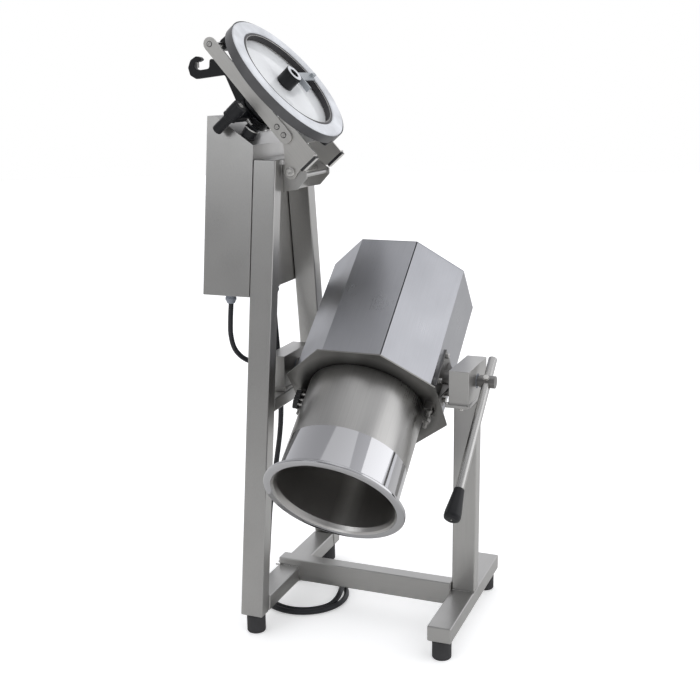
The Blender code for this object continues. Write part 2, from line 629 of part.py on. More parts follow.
knob_profile = [(0.0085, 0.0660), (0.0120, 0.0635), (0.0130, 0.0590), (0.0125, 0.0215),
                (0.0140, 0.0205), (0.0140, 0.0166), (0.002, 0.0166), (0.002, 0.0660)]
finish(turned("crank_knob", knob_profile, scraper_axis, (0, -CRANK_REACH, 0), sides=18),
       "black_plastic")
blade_arm = box("scraper_blade", (-0.012, 0.0240, -0.1290), (0.012, 0.1330, -0.1250), scraper_axis)
join(blade_arm, box("wiper", (-0.004, 0.1180, -0.1370), (0.004, 0.1380, -0.1240)),
     box("short_wiper", (-0.048, 0.0245, -0.1400), (-0.006, 0.0300, -0.1252)))
finish(blade_arm, "grey_plastic")

# ---------------------------------------------------------------- lid hinge on the stand
EAR = 0.0040
BRACKET_OUT = HINGE_X + 0.0400
web = box("hinge_bracket", (-INNER + GAP, -0.0735, 1.1080), (-INNER + 0.0045, 0.0735, 1.1740),
          stand)
for side in (-1, 1):
    low, high = sorted((side * 0.0695, side * 0.0735))
    ear = plate("ear", [(-INNER + 0.001, 1.1080), (HINGE_X + 0.014, 1.1140),
                        (BRACKET_OUT, 1.1420), (BRACKET_OUT, 1.1560), (HINGE_X + 0.012, 1.1740),
                        (-INNER + 0.001, 1.1740)], EAR, "XZ", (low + high) / 2)
    join(web, ear)
join(web, rod("stop_rod", (BRACKET_OUT - 0.010, -0.0700, 1.1490),
              (BRACKET_OUT - 0.010, 0.0700, 1.1490), 0.006, sides=16))
cut(web, rod("eye", (HINGE_X, -0.09, HINGE_Z), (HINGE_X, 0.09, HINGE_Z), 0.0074, sides=20))
finish(web, "brushed_steel")
pin_profile = [(0.0110, 0.0865), (0.0120, 0.0855), (0.0120, 0.0799), (0.0070, 0.0799),
               (0.0070, 0.0690), (0.0105, 0.0690), (0.0105, -0.0690), (0.0070, -0.0690),
               (0.0070, -0.0799), (0.0120, -0.0799), (0.0120, -0.0855), (0.0110, -0.0865),
               (0.002, -0.0865), (0.002, 0.0865)]
finish(turned("hinge_pin", pin_profile, stand, (HINGE_X, 0, HINGE_Z), (pi / 2, 0, 0), sides=16),
       "bowl_steel")


# ---------------------------------------------------------------- control box
def box_outline(inset):
    """The control box seen from the front, inset by a sheet's thickness."""
    slope = atan2(BOX_HIGH - BOX_SLOPE_LOW, BOX_RIGHT - BOX_SHOULDER_X)
    drop = inset * (1 / cos(slope) - tan(slope))
    return [(BOX_LEFT + inset, BOX_LOW + inset), (BOX_RIGHT - inset, BOX_LOW + inset),
            (BOX_RIGHT - inset, BOX_SLOPE_LOW - drop),
            (BOX_SHOULDER_X - inset * tan(slope / 2), BOX_HIGH - inset),
            (BOX_LEFT + inset, BOX_HIGH - inset)]


def box_side(front_inset, rear_inset, front=-1):
    """The control box seen from its side: its faces lean as the legs do."""
    low, high = BOX_LOW - 0.02, BOX_HIGH + 0.02
    return [(front * leg_front(low) + front_inset, low), (leg_front(low) - rear_inset, low),
            (leg_front(high) - rear_inset, high), (front * leg_front(high) + front_inset, high)]


box_middle = (BOX_LEFT + BOX_RIGHT) / 2
shell = plate("control_box", box_outline(0), 0.5, "XZ", 0.0, stand)
combine(shell, [plate("lean", box_side(0.0, SHEET), 0.3, "YZ", box_middle)], "INTERSECT")
hollow = plate("hollow", box_outline(SHEET), 0.5, "XZ", 0.0)
combine(hollow, [plate("lean", box_side(SHEET, -0.05), 0.3, "YZ", box_middle)], "INTERSECT")
cut(shell, hollow)
panel_slope = atan2(BOX_HIGH - BOX_SLOPE_LOW, BOX_RIGHT - BOX_SHOULDER_X)
panel = empty("panel", ((BOX_SHOULDER_X + BOX_RIGHT) / 2, 0, (BOX_HIGH + BOX_SLOPE_LOW) / 2),
              (0, panel_slope, 0), stand)
BUTTON_R, BUTTON_HIGH = 0.0110, 0.0080
CONTROLS = {"start_button": 0.045, "stop_button": 0.075}
panel_normal = Vector((sin(panel_slope), 0, cos(panel_slope)))
for name, y in CONTROLS.items():
    seat = Vector(panel.location) + Vector((0, y, 0))
    cut(shell, rod("hole", seat - 0.02 * panel_normal, seat + 0.02 * panel_normal,
                   BUTTON_R + 0.0004, sides=20))
    finish(rod(name, (0, y, -0.0050), (0, y, BUTTON_HIGH), BUTTON_R, panel, sides=20),
           "black_plastic")
finish(shell, "brushed_steel")
SELECTOR_X, SELECTOR_Y = 0.030, -0.085
selector = rod("speed_selector", (SELECTOR_X, SELECTOR_Y, GAP), (SELECTOR_X, SELECTOR_Y, 0.024),
               0.0180, panel, sides=28)
join(selector, box("bar", (SELECTOR_X - 0.016, SELECTOR_Y - 0.005, 0.022),
                   (SELECTOR_X + 0.016, SELECTOR_Y + 0.005, 0.031)))
finish(selector, "black_plastic")
rear_cover = plate("control_box_cover", box_outline(0), 0.5, "XZ", 0.0, stand)
combine(rear_cover, [plate("lean", box_side(GAP - SHEET, 0.0, front=1), 0.3, "YZ", box_middle)],
        "INTERSECT")
finish(rear_cover, "brushed_steel")

# ---------------------------------------------------------------- glands and cables
GLAND_LOW = 0.0265             # below the control box
gland_profile = [(0.0150, -GAP), (0.0150, -0.0060), (0.0125, -0.0080), (0.0125, -0.0180),
                 (0.0095, -GLAND_LOW), (MAINS_R + 0.0005, -GLAND_LOW), (MAINS_R + 0.0005, -GAP)]
MOTOR_GLAND = (-0.347, -0.115, BOX_LOW)
MAINS_GLAND = (-0.300, 0.040, BOX_LOW)
finish(turned("cable_gland_motor", gland_profile, stand, MOTOR_GLAND, sides=14), "grey_plastic")
finish(turned("cable_gland_mains", gland_profile, stand, MAINS_GLAND, sides=14), "grey_plastic")
cable_top = BOX_LOW - GLAND_LOW - GAP
motor_route = [(-0.347, -0.115, cable_top), (-0.350, -0.116, 0.785), (-0.351, -0.115, 0.745),
               (-0.347, -0.106, 0.709), (-0.338, -0.087, 0.683), (-0.326, -0.061, 0.665),
               (-0.313, -0.034, 0.6555), (-0.301, -0.012, 0.6510), (-0.289, -0.001, 0.6490),
               (-0.2780, 0.0, TILT_Z)]
finish(wire("motor_cable", motor_route, 0.0065, stand, 2, 3), "cable_black")
FLOOR = MAINS_R + 0.0002
mains_route = [(-0.300, 0.040, cable_top), (-0.300, 0.040, 0.775), (-0.293, 0.037, 0.690),
               (-0.285, 0.034, 0.590), (-0.287, 0.032, 0.470), (-0.305, 0.031, 0.345),
               (-0.325, 0.033, 0.230), (-0.333, 0.034, 0.150), (-0.335, 0.028, 0.092),
               (-0.3345, 0.009, 0.043), (-0.3305, -0.024, 0.015), (-0.3217, -0.0582, FLOOR)]
finish(wire("mains_cable", mains_route, MAINS_R, stand, 2, 3), "cable_black")
coil_profile = [(COIL_RADII[1], 2 * FLOOR), (COIL_RADII[1], 0.0002), (COIL_RADII[0], 0.0002),
                (COIL_RADII[0], 2 * FLOOR)]
finish(turned("mains_coil", coil_profile, stand, (*COIL_CENTRE, 0), sides=40), "cable_black")
end_route = [(-0.1703, 0.1070, FLOOR), (-0.2050, 0.1150, FLOOR + 0.0005),
             (-0.2350, 0.1190, 0.0130), (-0.2600, 0.1200, 0.0179), (-0.2740, 0.1200, 0.0182)]
finish(wire("mains_cable_end", end_route, MAINS_R, stand, 2, 4), "cable_black")
plug_profile = [(0.0180, 0.0580), (0.0180, 0.0260), (0.0155, 0.0200), (0.0105, 0.0140),
                (0.0090, 0.0), (0.002, 0.0), (0.002, 0.0580)]
plug = turned("mains_plug", plug_profile, stand, (-0.2748, 0.1200, 0.0182), (0, -pi / 2, 0),
              sides=16)
join(plug, rod("pin_a", (-0.3320, 0.1105, 0.0182), (-0.3518, 0.1105, 0.0182), 0.0024, sides=10),
     rod("pin_b", (-0.3320, 0.1295, 0.0182), (-0.3518, 0.1295, 0.0182), 0.0024, sides=10))
finish(plug, "black_plastic")
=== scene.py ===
"""Looks of the tilting vertical cutter mixer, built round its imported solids.

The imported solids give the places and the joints.  Round and folded pieces are made again here
with smooth surfaces, rounded edges and fasteners, and every piece gets its material.
Sizes are in metres, in three local frames that come from the joints:

stand frame  X along the tilt axis, bowl centre at x = 0, tilt axis at y = 0, floor at z = 0
bowl frame   origin on the tilt axis, Z out of the bowl's mouth
lid frame    origin on the lid hinge, X across the lid, Z up when the lid is closed
"""
import json
from math import atan2, cos, pi, radians, sin, sqrt, tan

import bmesh
import bpy
from mathutils import Matrix, Vector

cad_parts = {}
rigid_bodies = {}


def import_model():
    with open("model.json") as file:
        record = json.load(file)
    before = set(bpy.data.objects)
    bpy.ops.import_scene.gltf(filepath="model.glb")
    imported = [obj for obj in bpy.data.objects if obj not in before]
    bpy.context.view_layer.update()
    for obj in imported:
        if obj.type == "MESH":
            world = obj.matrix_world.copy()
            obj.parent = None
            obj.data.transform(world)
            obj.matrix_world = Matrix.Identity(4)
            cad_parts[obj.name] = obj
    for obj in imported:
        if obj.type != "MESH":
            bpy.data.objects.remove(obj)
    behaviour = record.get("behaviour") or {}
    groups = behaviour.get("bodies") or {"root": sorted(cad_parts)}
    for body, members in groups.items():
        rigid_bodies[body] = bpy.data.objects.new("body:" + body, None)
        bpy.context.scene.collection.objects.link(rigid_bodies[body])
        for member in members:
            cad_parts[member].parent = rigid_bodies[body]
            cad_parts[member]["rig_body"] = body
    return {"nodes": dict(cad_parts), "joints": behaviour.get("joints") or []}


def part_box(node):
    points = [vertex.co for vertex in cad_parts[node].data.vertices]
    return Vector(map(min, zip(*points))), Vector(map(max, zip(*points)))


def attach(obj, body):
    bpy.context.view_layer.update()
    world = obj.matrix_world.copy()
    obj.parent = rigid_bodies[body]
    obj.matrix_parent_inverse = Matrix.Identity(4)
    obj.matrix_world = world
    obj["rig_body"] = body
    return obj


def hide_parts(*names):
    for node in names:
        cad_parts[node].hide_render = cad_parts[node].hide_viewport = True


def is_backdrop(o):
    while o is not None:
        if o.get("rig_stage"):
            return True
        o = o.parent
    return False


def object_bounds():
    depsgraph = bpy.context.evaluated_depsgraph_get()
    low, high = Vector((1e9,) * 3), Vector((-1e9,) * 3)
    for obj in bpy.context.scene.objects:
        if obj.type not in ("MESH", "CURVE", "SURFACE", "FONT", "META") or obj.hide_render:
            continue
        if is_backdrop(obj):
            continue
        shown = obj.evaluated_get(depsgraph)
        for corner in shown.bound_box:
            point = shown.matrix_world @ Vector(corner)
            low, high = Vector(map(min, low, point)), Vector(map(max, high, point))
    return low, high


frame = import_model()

cad_low, cad_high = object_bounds()

# ---------------------------------------------------------------- frames and sizes
JOINTS = {joint["name"]: joint for joint in frame["joints"]}
TILT = Vector(JOINTS["bowl_tilt"]["pos_m"])
STAND = Matrix.Translation((TILT.x, TILT.y, 0))
BOWL = Matrix.Translation(TILT) @ Matrix.Rotation(
    radians(JOINTS["bowl_tilt"]["range_deg"][1]), 4, "X")
HINGE = Matrix.Translation(JOINTS["lid_swing"]["pos_m"])
LID = HINGE @ Matrix.Rotation(-radians(JOINTS["lid_swing"]["range_deg"][1]), 4, "Y")
LID_REACH = 0.1894                        # hinge to lid centre
DISC = LID @ Matrix.Translation((LID_REACH, 0, 0))

GAP = 0.0003
TUBE_ROUND = 0.0034                       # corner radius of the stand tube
TUBE_DEEP = 0.040
INNER, OUTER = 0.2135, 0.2735             # the stand tubes' faces, from the bowl's centre
LEAN = 0.1329                             # inward lean of the legs, metres per metre
HOUSING_FLAT = 0.180
COLLAR_HIGH = 0.088
BOWL_R, BOWL_INNER = 0.149, 0.147
BOWL_FLOOR, BOWL_RIM = 0.100, 0.385
HIGHLIGHT_ANGLE = -98.0                            # angle of the highlight painted down the bowl's inside wall, degrees
BAND_LOW = 0.266                          # where the bowl's polished band starts
RIM_R, LIP_R = 0.1755, 0.156
RING_R, WINDOW_R = 0.186, 0.147
RING_FACE, RING_BACK = -0.1234, -0.0974
ARM_OUT = 0.0858                          # outer face of the lid arms
ARM_REACH = 0.3665
LEVER_X, LEVER_R = 0.292, 0.011
MAINS_R, MOTOR_CABLE_R = 0.007, 0.0065
COIL_CENTRE = (-0.203, -0.015)
COIL_OUTER, COIL_INNER = 0.1125, 0.0980   # middle of the two turns


# ---------------------------------------------------------------- materials
class Look:
    """A Principled material that is given noise, tints and relief step by step."""

    def __init__(self, name, colour, roughness, metallic=0.0, **sockets):
        self.material = bpy.data.materials.new(name)
        self.material.use_nodes = True
        self.nodes = self.material.node_tree.nodes
        self.links = self.material.node_tree.links
        self.shader = self.nodes["Principled BSDF"]
        self.colour = colour
        self.shader.inputs["Base Color"].default_value = (*colour, 1.0)
        self.shader.inputs["Roughness"].default_value = roughness
        self.shader.inputs["Metallic"].default_value = metallic
        for socket, value in sockets.items():
            self.shader.inputs[socket.replace("_", " ")].default_value = value
        self.coords = self.nodes.new("ShaderNodeTexCoord").outputs["Object"]

    def noise(self, scale, detail=3.0, rough=0.55):
        """Noise in the piece's own coordinates, with a scale for each axis."""
        mapping = self.nodes.new("ShaderNodeMapping")
        mapping.inputs["Scale"].default_value = scale
        texture = self.nodes.new("ShaderNodeTexNoise")
        texture.inputs["Scale"].default_value = 1.0
        texture.inputs["Detail"].default_value = detail
        texture.inputs["Roughness"].default_value = rough
        self.links.new(self.coords, mapping.inputs["Vector"])
        self.links.new(mapping.outputs["Vector"], texture.inputs["Vector"])
        return texture.outputs[0]

    def height(self, axis="Z"):
        """The piece's own coordinate along one axis."""
        split = self.nodes.new("ShaderNodeSeparateXYZ")
        self.links.new(self.coords, split.inputs[0])
        return split.outputs[axis]

    def radius(self):
        """The distance from the piece's own Z axis."""
        squares = [self.combined("MULTIPLY", self.height(axis), self.height(axis))
                   for axis in "XY"]
        return self.combined("SQRT", self.combined("ADD", *squares), 0.0)

    def ranged(self, value, low, high, start=0.3, end=0.7):
        """The value mapped from start..end to low..high, clamped."""
        node = self.nodes.new("ShaderNodeMapRange")
        for socket, number in (("From Min", start), ("From Max", end), ("To Min", low),
                               ("To Max", high)):
            node.inputs[socket].default_value = number
        self.links.new(value, node.inputs["Value"])
        return node.outputs["Result"]

    def combined(self, operation, first, second):
        node = self.nodes.new("ShaderNodeMath")
        node.operation = operation
        for socket, value in zip(node.inputs, (first, second)):
            if isinstance(value, (int, float)):
                socket.default_value = value
            else:
                self.links.new(value, socket)
        return node.outputs[0]

    def blended(self, factor, first, second):
        """Two colours mixed by a factor; either may be a socket."""
        node = self.nodes.new("ShaderNodeMix")
        node.data_type = "RGBA"
        self.links.new(factor, node.inputs[0])
        for socket, value in ((node.inputs[6], first), (node.inputs[7], second)):
            if isinstance(value, tuple):
                socket.default_value = (*value, 1.0)
            else:
                self.links.new(value, socket)
        return node.outputs[2]

    def shade(self, amount):
        """The base colour, darker below 1 and lighter above."""
        return tuple(min(1.0, channel * amount) for channel in self.colour)

    def set(self, socket, value):
        self.links.new(value, self.shader.inputs[socket])
        return self

    def relief(self, height, strength, distance):
        bump = self.nodes.new("ShaderNodeBump")
        bump.inputs["Strength"].default_value = strength
        bump.inputs["Distance"].default_value = distance
        self.links.new(height, bump.inputs["Height"])
        self.links.new(bump.outputs["Normal"], self.shader.inputs["Normal"])
        return self


GRAIN_FINE, GRAIN_LONG = 1300.0, 9.0      # noise waves per metre across and along the grain


def brushed(name, colour, roughness, along, spread=0.03, relief=0.0):
    """Stainless steel with its grain along one axis, and faint handling marks."""
    look = Look(name, colour, roughness, 1.0)
    scale = [GRAIN_LONG if axis == along else GRAIN_FINE for axis in "XYZ"]
    grain = look.noise(scale, 4.0, 0.6)
    marks = look.noise((7.0, 7.0, 7.0), 4.0, 0.6)
    rough = look.ranged(grain, roughness - spread, roughness + spread)
    rough = look.combined("ADD", rough, look.ranged(marks, -0.03, 0.05))
    tone = look.blended(look.ranged(grain, 0.0, 1.0), look.shade(0.92), look.shade(1.06))
    worn = look.blended(look.ranged(marks, 0.0, 0.35), tone, look.shade(0.88))
    look.set("Roughness", rough).set("Base Color", worn)
    if relief:
        look.relief(grain, relief, 0.0002)
    return look.material


def turned_metal(name, colour, roughness):
    """Bright machined steel for pins, nuts and bolts."""
    look = Look(name, colour, roughness, 1.0)
    rings = look.noise((2600.0, 2600.0, 900.0), 2.0)
    look.set("Roughness", look.ranged(rings, roughness - 0.05, roughness + 0.09))
    look.set("Base Color", look.blended(look.ranged(rings, 0.0, 1.0), look.shade(0.85),
                                        look.shade(1.05)))
    return look.relief(rings, 0.06, 0.0001).material


def moulded(name, colour, roughness, grain=2200.0, relief=0.10, **sockets):
    """Moulded plastic or rubber with a fine skin and slight fading."""
    look = Look(name, colour, roughness, 0.0, **sockets)
    skin = look.noise((grain, grain, grain), 3.0)
    fade = look.noise((14.0, 14.0, 14.0), 3.0)
    look.set("Roughness", look.ranged(skin, roughness - 0.06, roughness + 0.08))
    look.set("Base Color", look.blended(look.ranged(fade, 0.0, 1.0), look.shade(0.85),
                                        look.shade(1.25)))
    return look.relief(skin, relief, 0.00015).material


def bowl_outside():
    """Axial satin lines above, mirror polish on the band next to the rim."""
    look = Look("bowl_outside", (0.45, 0.445, 0.435), 0.30, 1.0)
    angle_lines = look.noise((420.0, 420.0, 3.0), 3.0, 0.5)
    marks = look.noise((9.0, 9.0, 9.0), 4.0, 0.6)
    band = look.ranged(look.height(), 0.0, 1.0, BAND_LOW, BAND_LOW + 0.0006)
    satin = look.combined("ADD", look.ranged(angle_lines, 0.28, 0.32),
                          look.ranged(marks, -0.02, 0.05))
    polish = look.ranged(marks, 0.035, 0.075)
    keep = look.combined("SUBTRACT", 1.0, band)
    rough = look.combined("ADD", look.combined("MULTIPLY", satin, keep),
                          look.combined("MULTIPLY", polish, band))
    tone = look.blended(look.ranged(angle_lines, 0.0, 1.0), look.shade(0.95), look.shade(1.04))
    look.set("Base Color", look.blended(band, tone, (0.57, 0.57, 0.585)))
    look.set("Roughness", rough)
    return look.material


def collar_face():
    """Satin plate coloured darker than the other steel, and darker still towards the bowl:
    painted shade, the bowl's dark reflection painted in.
    """
    look = Look("collar_satin", (0.27, 0.265, 0.255), 0.38, 1.0)
    grain = look.noise((GRAIN_LONG, GRAIN_FINE, GRAIN_FINE), 4.0, 0.6)
    # painted shade: the colour darkens towards the bowl, standing for the bowl's dark reflection
    bowl_shade = look.ranged(look.radius(), 0.0, 1.0, 0.150, 0.186)
    look.set("Base Color", look.blended(bowl_shade, look.shade(0.10), look.shade(1.0)))
    look.set("Roughness", look.ranged(grain, 0.36, 0.42))
    return look.material


def bowl_inside():
    look = Look("bowl_inside", (0.46, 0.45, 0.44), 0.30, 1.0)
    lines = look.noise((300.0, 300.0, 2.0), 3.0, 0.5)
    # painted shade: the inside wall is coloured darker towards the bowl's floor and lighter
    # towards the rim
    depth_shade = look.ranged(look.height(), 0.0, 1.0, BOWL_FLOOR, BOWL_RIM)
    # painted highlight: a lighter band down the inside wall at one angle round the axis
    angle = look.combined("ARCTAN2", look.height("Y"), look.height("X"))
    offset = look.combined("ABSOLUTE", look.combined("SUBTRACT", angle, radians(HIGHLIGHT_ANGLE)), 0.0)
    painted_highlight = look.ranged(offset, 1.0, 0.0, 0.02, 0.24)
    shaded_wall = look.blended(depth_shade, look.shade(0.75), look.shade(1.15))
    look.set("Roughness", look.ranged(lines, 0.30, 0.35))
    look.set("Base Color", look.blended(painted_highlight, shaded_wall, (0.90, 0.89, 0.87)))
    return look.material


def milky_window():
    """Clear polycarbonate, hazed by washing and with fine radial scratches."""
    look = Look("window_plastic", (0.83, 0.845, 0.87), 0.08, 0.0, IOR=1.49, Alpha=0.80)
    haze = look.noise((16.0, 16.0, 16.0), 5.0, 0.65)
    scratches = look.noise((900.0, 40.0, 40.0), 3.0)
    look.set("Roughness", look.combined("ADD", look.ranged(haze, 0.03, 0.09),
                                        look.ranged(scratches, 0.0, 0.03)))
    return look.relief(scratches, 0.04, 0.0001).material


STEEL = (0.50, 0.495, 0.485)
STEEL_X, STEEL_Y, STEEL_Z = (brushed("steel_grain_" + axis.lower(), STEEL, 0.33, axis)
                             for axis in "XYZ")
HOUSING_STEEL = brushed("housing_satin", (0.435, 0.44, 0.465), 0.30, "Z", 0.015)
COLLAR_STEEL = collar_face()
PLATE_STEEL = brushed("lid_plate_satin", (0.62, 0.61, 0.59), 0.40, "X")
DARK_STEEL = brushed("bracket_steel", (0.26, 0.255, 0.25), 0.36, "Z")
ROD_STEEL = brushed("rod_steel", STEEL, 0.26, "Z")
BLADE_STEEL = brushed("knife_steel", (0.72, 0.72, 0.72), 0.16, "X", 0.04, 0.02)
BRIGHT = turned_metal("fastener_steel", (0.68, 0.67, 0.65), 0.22)
BOLT_STEEL = turned_metal("bolt_steel", (0.34, 0.335, 0.325), 0.28)
# near-black colour: the dark reflection on the lid ring's metal outer band, painted in
BAND = moulded("lid_band", (0.055, 0.055, 0.058), 0.34, 1200.0, 0.05)
BOWL_OUT = bowl_outside()
BOWL_IN = bowl_inside()
MOTOR_PAINT = moulded("motor_paint", (0.20, 0.21, 0.22), 0.45, 900.0)
BLACK = moulded("black_moulding", (0.0075, 0.008, 0.0095), 0.38, Specular_IOR_Level=0.32)
RUBBER = moulded("black_rubber", (0.024, 0.024, 0.026), 0.66, 1500.0, 0.18)
SEAL = moulded("seal_rubber", (0.030, 0.028, 0.031), 0.42, 1500.0)
WHITE = moulded("ring_white", (0.56, 0.575, 0.61), 0.42, 1200.0, 0.05)
GREY = moulded("grey_moulding", (0.17, 0.185, 0.215), 0.50)
SCRAPER = moulded("scraper_plastic", (0.25, 0.27, 0.29), 0.30, 1200.0, 0.05)
WINDOW = milky_window()
SHEATH = moulded("cable_sheath", (0.013, 0.014, 0.018), 0.48, 1600.0, 0.14)


# ---------------------------------------------------------------- making meshes
def arc(centre, radius, first, last, steps):
    """Points on an arc, angles in degrees."""
    return [(centre[0] + radius * cos(radians(first + (last - first) * k / steps)),
             centre[1] + radius * sin(radians(first + (last - first) * k / steps)))
            for k in range(steps + 1)]


def rounded(outline, radius, steps=3):
    """A closed outline with each corner rounded, as far as its sides allow."""
    made = []
    for before, corner, after in zip(outline[-1:] + outline[:-1], outline,
                                     outline[1:] + outline[:1]):
        corner = Vector(corner)
        back, on = Vector(before) - corner, Vector(after) - corner
        opening = back.angle(on)
        if opening > radians(168) or opening < radians(2):
            made.append(tuple(corner))
            continue
        reach = min(radius / tan(opening / 2), 0.45 * back.length, 0.45 * on.length)
        start, end = corner + back.normalized() * reach, corner + on.normalized() * reach
        for k in range(steps + 1):
            t = k / steps
            made.append(tuple(start * (1 - t) ** 2 + corner * 2 * t * (1 - t) + end * t * t))
    return made


def add_turned(bm, profile, place=Matrix(), steps=96):
    """Turn a closed (radius, height) outline round Z.  A radius of 0 closes it on the axis."""
    rings = []
    for k in range(steps):
        angle = 2 * pi * k / steps
        rings.append([bm.verts.new(place @ Vector((r * cos(angle), r * sin(angle), z)))
                      for r, z in profile])
    count = len(profile)
    for ring, following in zip(rings, rings[1:] + rings[:1]):
        for i in range(count):
            j = (i + 1) % count
            if profile[i][0] > 0 or profile[j][0] > 0:
                bm.faces.new((ring[i], following[i], following[j], ring[j]))


def add_prism(bm, sides, radius, low, high, place=Matrix(), chamfer=0.0):
    """A bar with a regular section along Z, with both its ends chamfered."""
    profile = [(radius - chamfer, high), (radius, high - chamfer), (radius, low + chamfer),
               (radius - chamfer, low), (0, low), (0, high)]
    add_turned(bm, profile, place, sides)


def mesh_from(bm, name, sharp=32):
    bmesh.ops.remove_doubles(bm, verts=bm.verts, dist=0.000002)
    bmesh.ops.recalc_face_normals(bm, faces=bm.faces)
    mesh = bpy.data.meshes.new(name)
    bm.to_mesh(mesh)
    bm.free()
    mesh.shade_smooth()
    mesh.set_sharp_from_angle(angle=radians(sharp))
    return mesh


def piece(name, mesh, place, body, material, slot, *replaced):
    """Put a mesh or curve in its frame, on its body, with its material; the slot is not used."""
    made = bpy.data.objects.new(name, mesh)
    bpy.context.scene.collection.objects.link(made)
    made.matrix_world = place
    if not mesh.materials:
        mesh.materials.append(material)
    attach(made, body)
    if replaced:
        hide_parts(*replaced)
    return made


def turned(name, profile, place, body, material, slot, *replaced, radius=0.0006, steps=96):
    """A turned piece whose outline's corners are rounded."""
    bm = bmesh.new()
    add_turned(bm, rounded(profile, radius) if radius else profile, Matrix(), steps)
    return piece(name, mesh_from(bm, name), place, body, material, slot, *replaced)


def edged(made, width, segments=3, limit=28):
    """Round the piece's edges."""
    bevel = made.modifiers.new("edges", "BEVEL")
    bevel.width = width
    bevel.segments = segments
    bevel.limit_method = "ANGLE"
    bevel.angle_limit = radians(limit)
    bevel.harden_normals = True
    return made


def softened(node, place, material, slot, width=0.0007, segments=2, name=None):
    """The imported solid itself, with its flat faces made whole and its edges rounded."""
    body = frame["nodes"][node]["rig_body"]
    bm = bmesh.new()
    bm.from_mesh(frame["nodes"][node].data)
    bm.transform(place.inverted())
    bmesh.ops.remove_doubles(bm, verts=bm.verts, dist=0.00001)
    bmesh.ops.dissolve_limit(bm, angle_limit=radians(0.4), verts=bm.verts, edges=bm.edges)
    mesh = mesh_from(bm, node)
    return edged(piece(name or node + "_finished", mesh, place, body, material, slot, node),
                 width, segments)


def extruded(name, outline, low, high, plane, place, body, material, slot, *replaced,
             width=TUBE_ROUND, segments=4):
    """An outline in XY, XZ or YZ given a thickness along the third axis, with round edges."""
    order = {"XY": (0, 1, 2), "XZ": (0, 2, 1), "YZ": (2, 0, 1)}[plane]
    bm = bmesh.new()

    def vertex(point, level):
        values = (*point, level)
        return bm.verts.new([values[order[k]] for k in range(3)])
    rows = [[vertex(point, level) for point in outline] for level in (low, high)]
    bm.faces.new(rows[0])
    bm.faces.new(rows[1])
    for i in range(len(outline)):
        j = (i + 1) % len(outline)
        bm.faces.new((rows[0][i], rows[0][j], rows[1][j], rows[1][i]))
    mesh = mesh_from(bm, name)
    return edged(piece(name, mesh, place, body, material, slot, *replaced), width, segments)


def round_bar(name, points, radius, resolution):
    """A round bar along a dense list of points, as one open spline with closed ends."""
    curve = bpy.data.curves.new(name, "CURVE")
    curve.dimensions = "3D"
    curve.bevel_depth = radius
    curve.bevel_resolution = resolution
    curve.use_fill_caps = True
    spline = curve.splines.new("POLY")
    spline.points.add(len(points) - 1)
    for point, where in zip(spline.points, points):
        point.co = (*where, 1)
    return curve, spline


def cable(name, points, radius, place, body, material, slot, *replaced):
    curve, spline = round_bar(name, points, radius, 6)
    spline.use_smooth = True
    return piece(name, curve, place, body, material, slot, *replaced)


def smooth_route(points, steps):
    """Points on a centripetal Catmull-Rom curve through the given ones."""
    points = [Vector(p) for p in points]
    points = [2 * points[0] - points[1]] + points + [2 * points[-1] - points[-2]]
    route = []
    for p0, p1, p2, p3 in zip(points, points[1:], points[2:], points[3:]):
        t1 = (p1 - p0).length ** 0.5
        t2 = t1 + (p2 - p1).length ** 0.5
        t3 = t2 + (p3 - p2).length ** 0.5
        for step in range(steps):
            t = t1 + (t2 - t1) * step / steps
            a1 = p0 * ((t1 - t) / t1) + p1 * (t / t1)
            a2 = p1 * ((t2 - t) / (t2 - t1)) + p2 * ((t - t1) / (t2 - t1))
            a3 = p2 * ((t3 - t) / (t3 - t2)) + p3 * ((t - t2) / (t3 - t2))
            b1 = a1 * ((t2 - t) / t2) + a2 * (t / t2)
            b2 = a2 * ((t3 - t) / (t3 - t1)) + a3 * ((t - t1) / (t3 - t1))
            route.append(b1 * ((t2 - t) / (t2 - t1)) + b2 * ((t - t1) / (t2 - t1)))
    route.append(points[-2])
    return route


def facing(point, direction, turn=0.0):
    """A frame at a point with its Z along a direction."""
    return (Matrix.Translation(point) @ Vector(direction).to_track_quat("Z", "Y").to_matrix()
            .to_4x4() @ Matrix.Rotation(radians(turn), 4, "Z"))


# ---------------------------------------------------------------- fasteners
def hex_bolt(bm, where, across=0.013, high=0.0055):
    """A hexagon head on a washer, standing on the plane of its frame."""
    washer = across * 0.62
    add_turned(bm, rounded([(washer, 0.0012), (washer, 0), (0, 0), (0, 0.0012)], 0.0003, 2),
               where, 28)
    add_prism(bm, 6, across / sqrt(3), 0.0012, 0.0012 + high, where, 0.0008)
    add_turned(bm, [(across * 0.30, high + 0.0016), (across * 0.34, high + 0.0008), (0, high),
                    (0, high + 0.0016)], where, 24)


def acorn_nut(bm, where, across=0.016):
    """A domed nut on a washer."""
    washer = across * 0.62
    add_turned(bm, [(washer, 0.0015), (washer, 0), (0, 0), (0, 0.0015)], where, 28)
    add_prism(bm, 6, across / sqrt(3), 0.0015, 0.0085, where, 0.0008)
    dome = [(across * 0.46 * cos(radians(a)), 0.0085 + across * 0.52 * sin(radians(a)))
            for a in range(0, 91, 15)]
    add_turned(bm, [(0, 0.0080), (across * 0.46, 0.0080)] + dome[:-1] + [(0, dome[-1][1])],
               where, 28)


def slot_screw(bm, where, radius=0.0058, high=0.0022):
    """A flat round head with a ring groove."""
    add_turned(bm, [(0, high), (radius * 0.55, high), (radius * 0.62, high - 0.0004),
                    (radius * 0.70, high), (radius - 0.0005, high), (radius, high - 0.0006),
                    (radius, 0), (0, 0)], where, 32)


def fasteners(name, maker, places, body, frame_of, material=None, slot="bowl_steel", **sizes):
    """Like fasteners on one body, as one piece."""
    bm = bmesh.new()
    for point, direction in places:
        maker(bm, facing(point, direction, 11), **sizes)
    return piece(name, mesh_from(bm, name), frame_of, body, material or BRIGHT, slot)


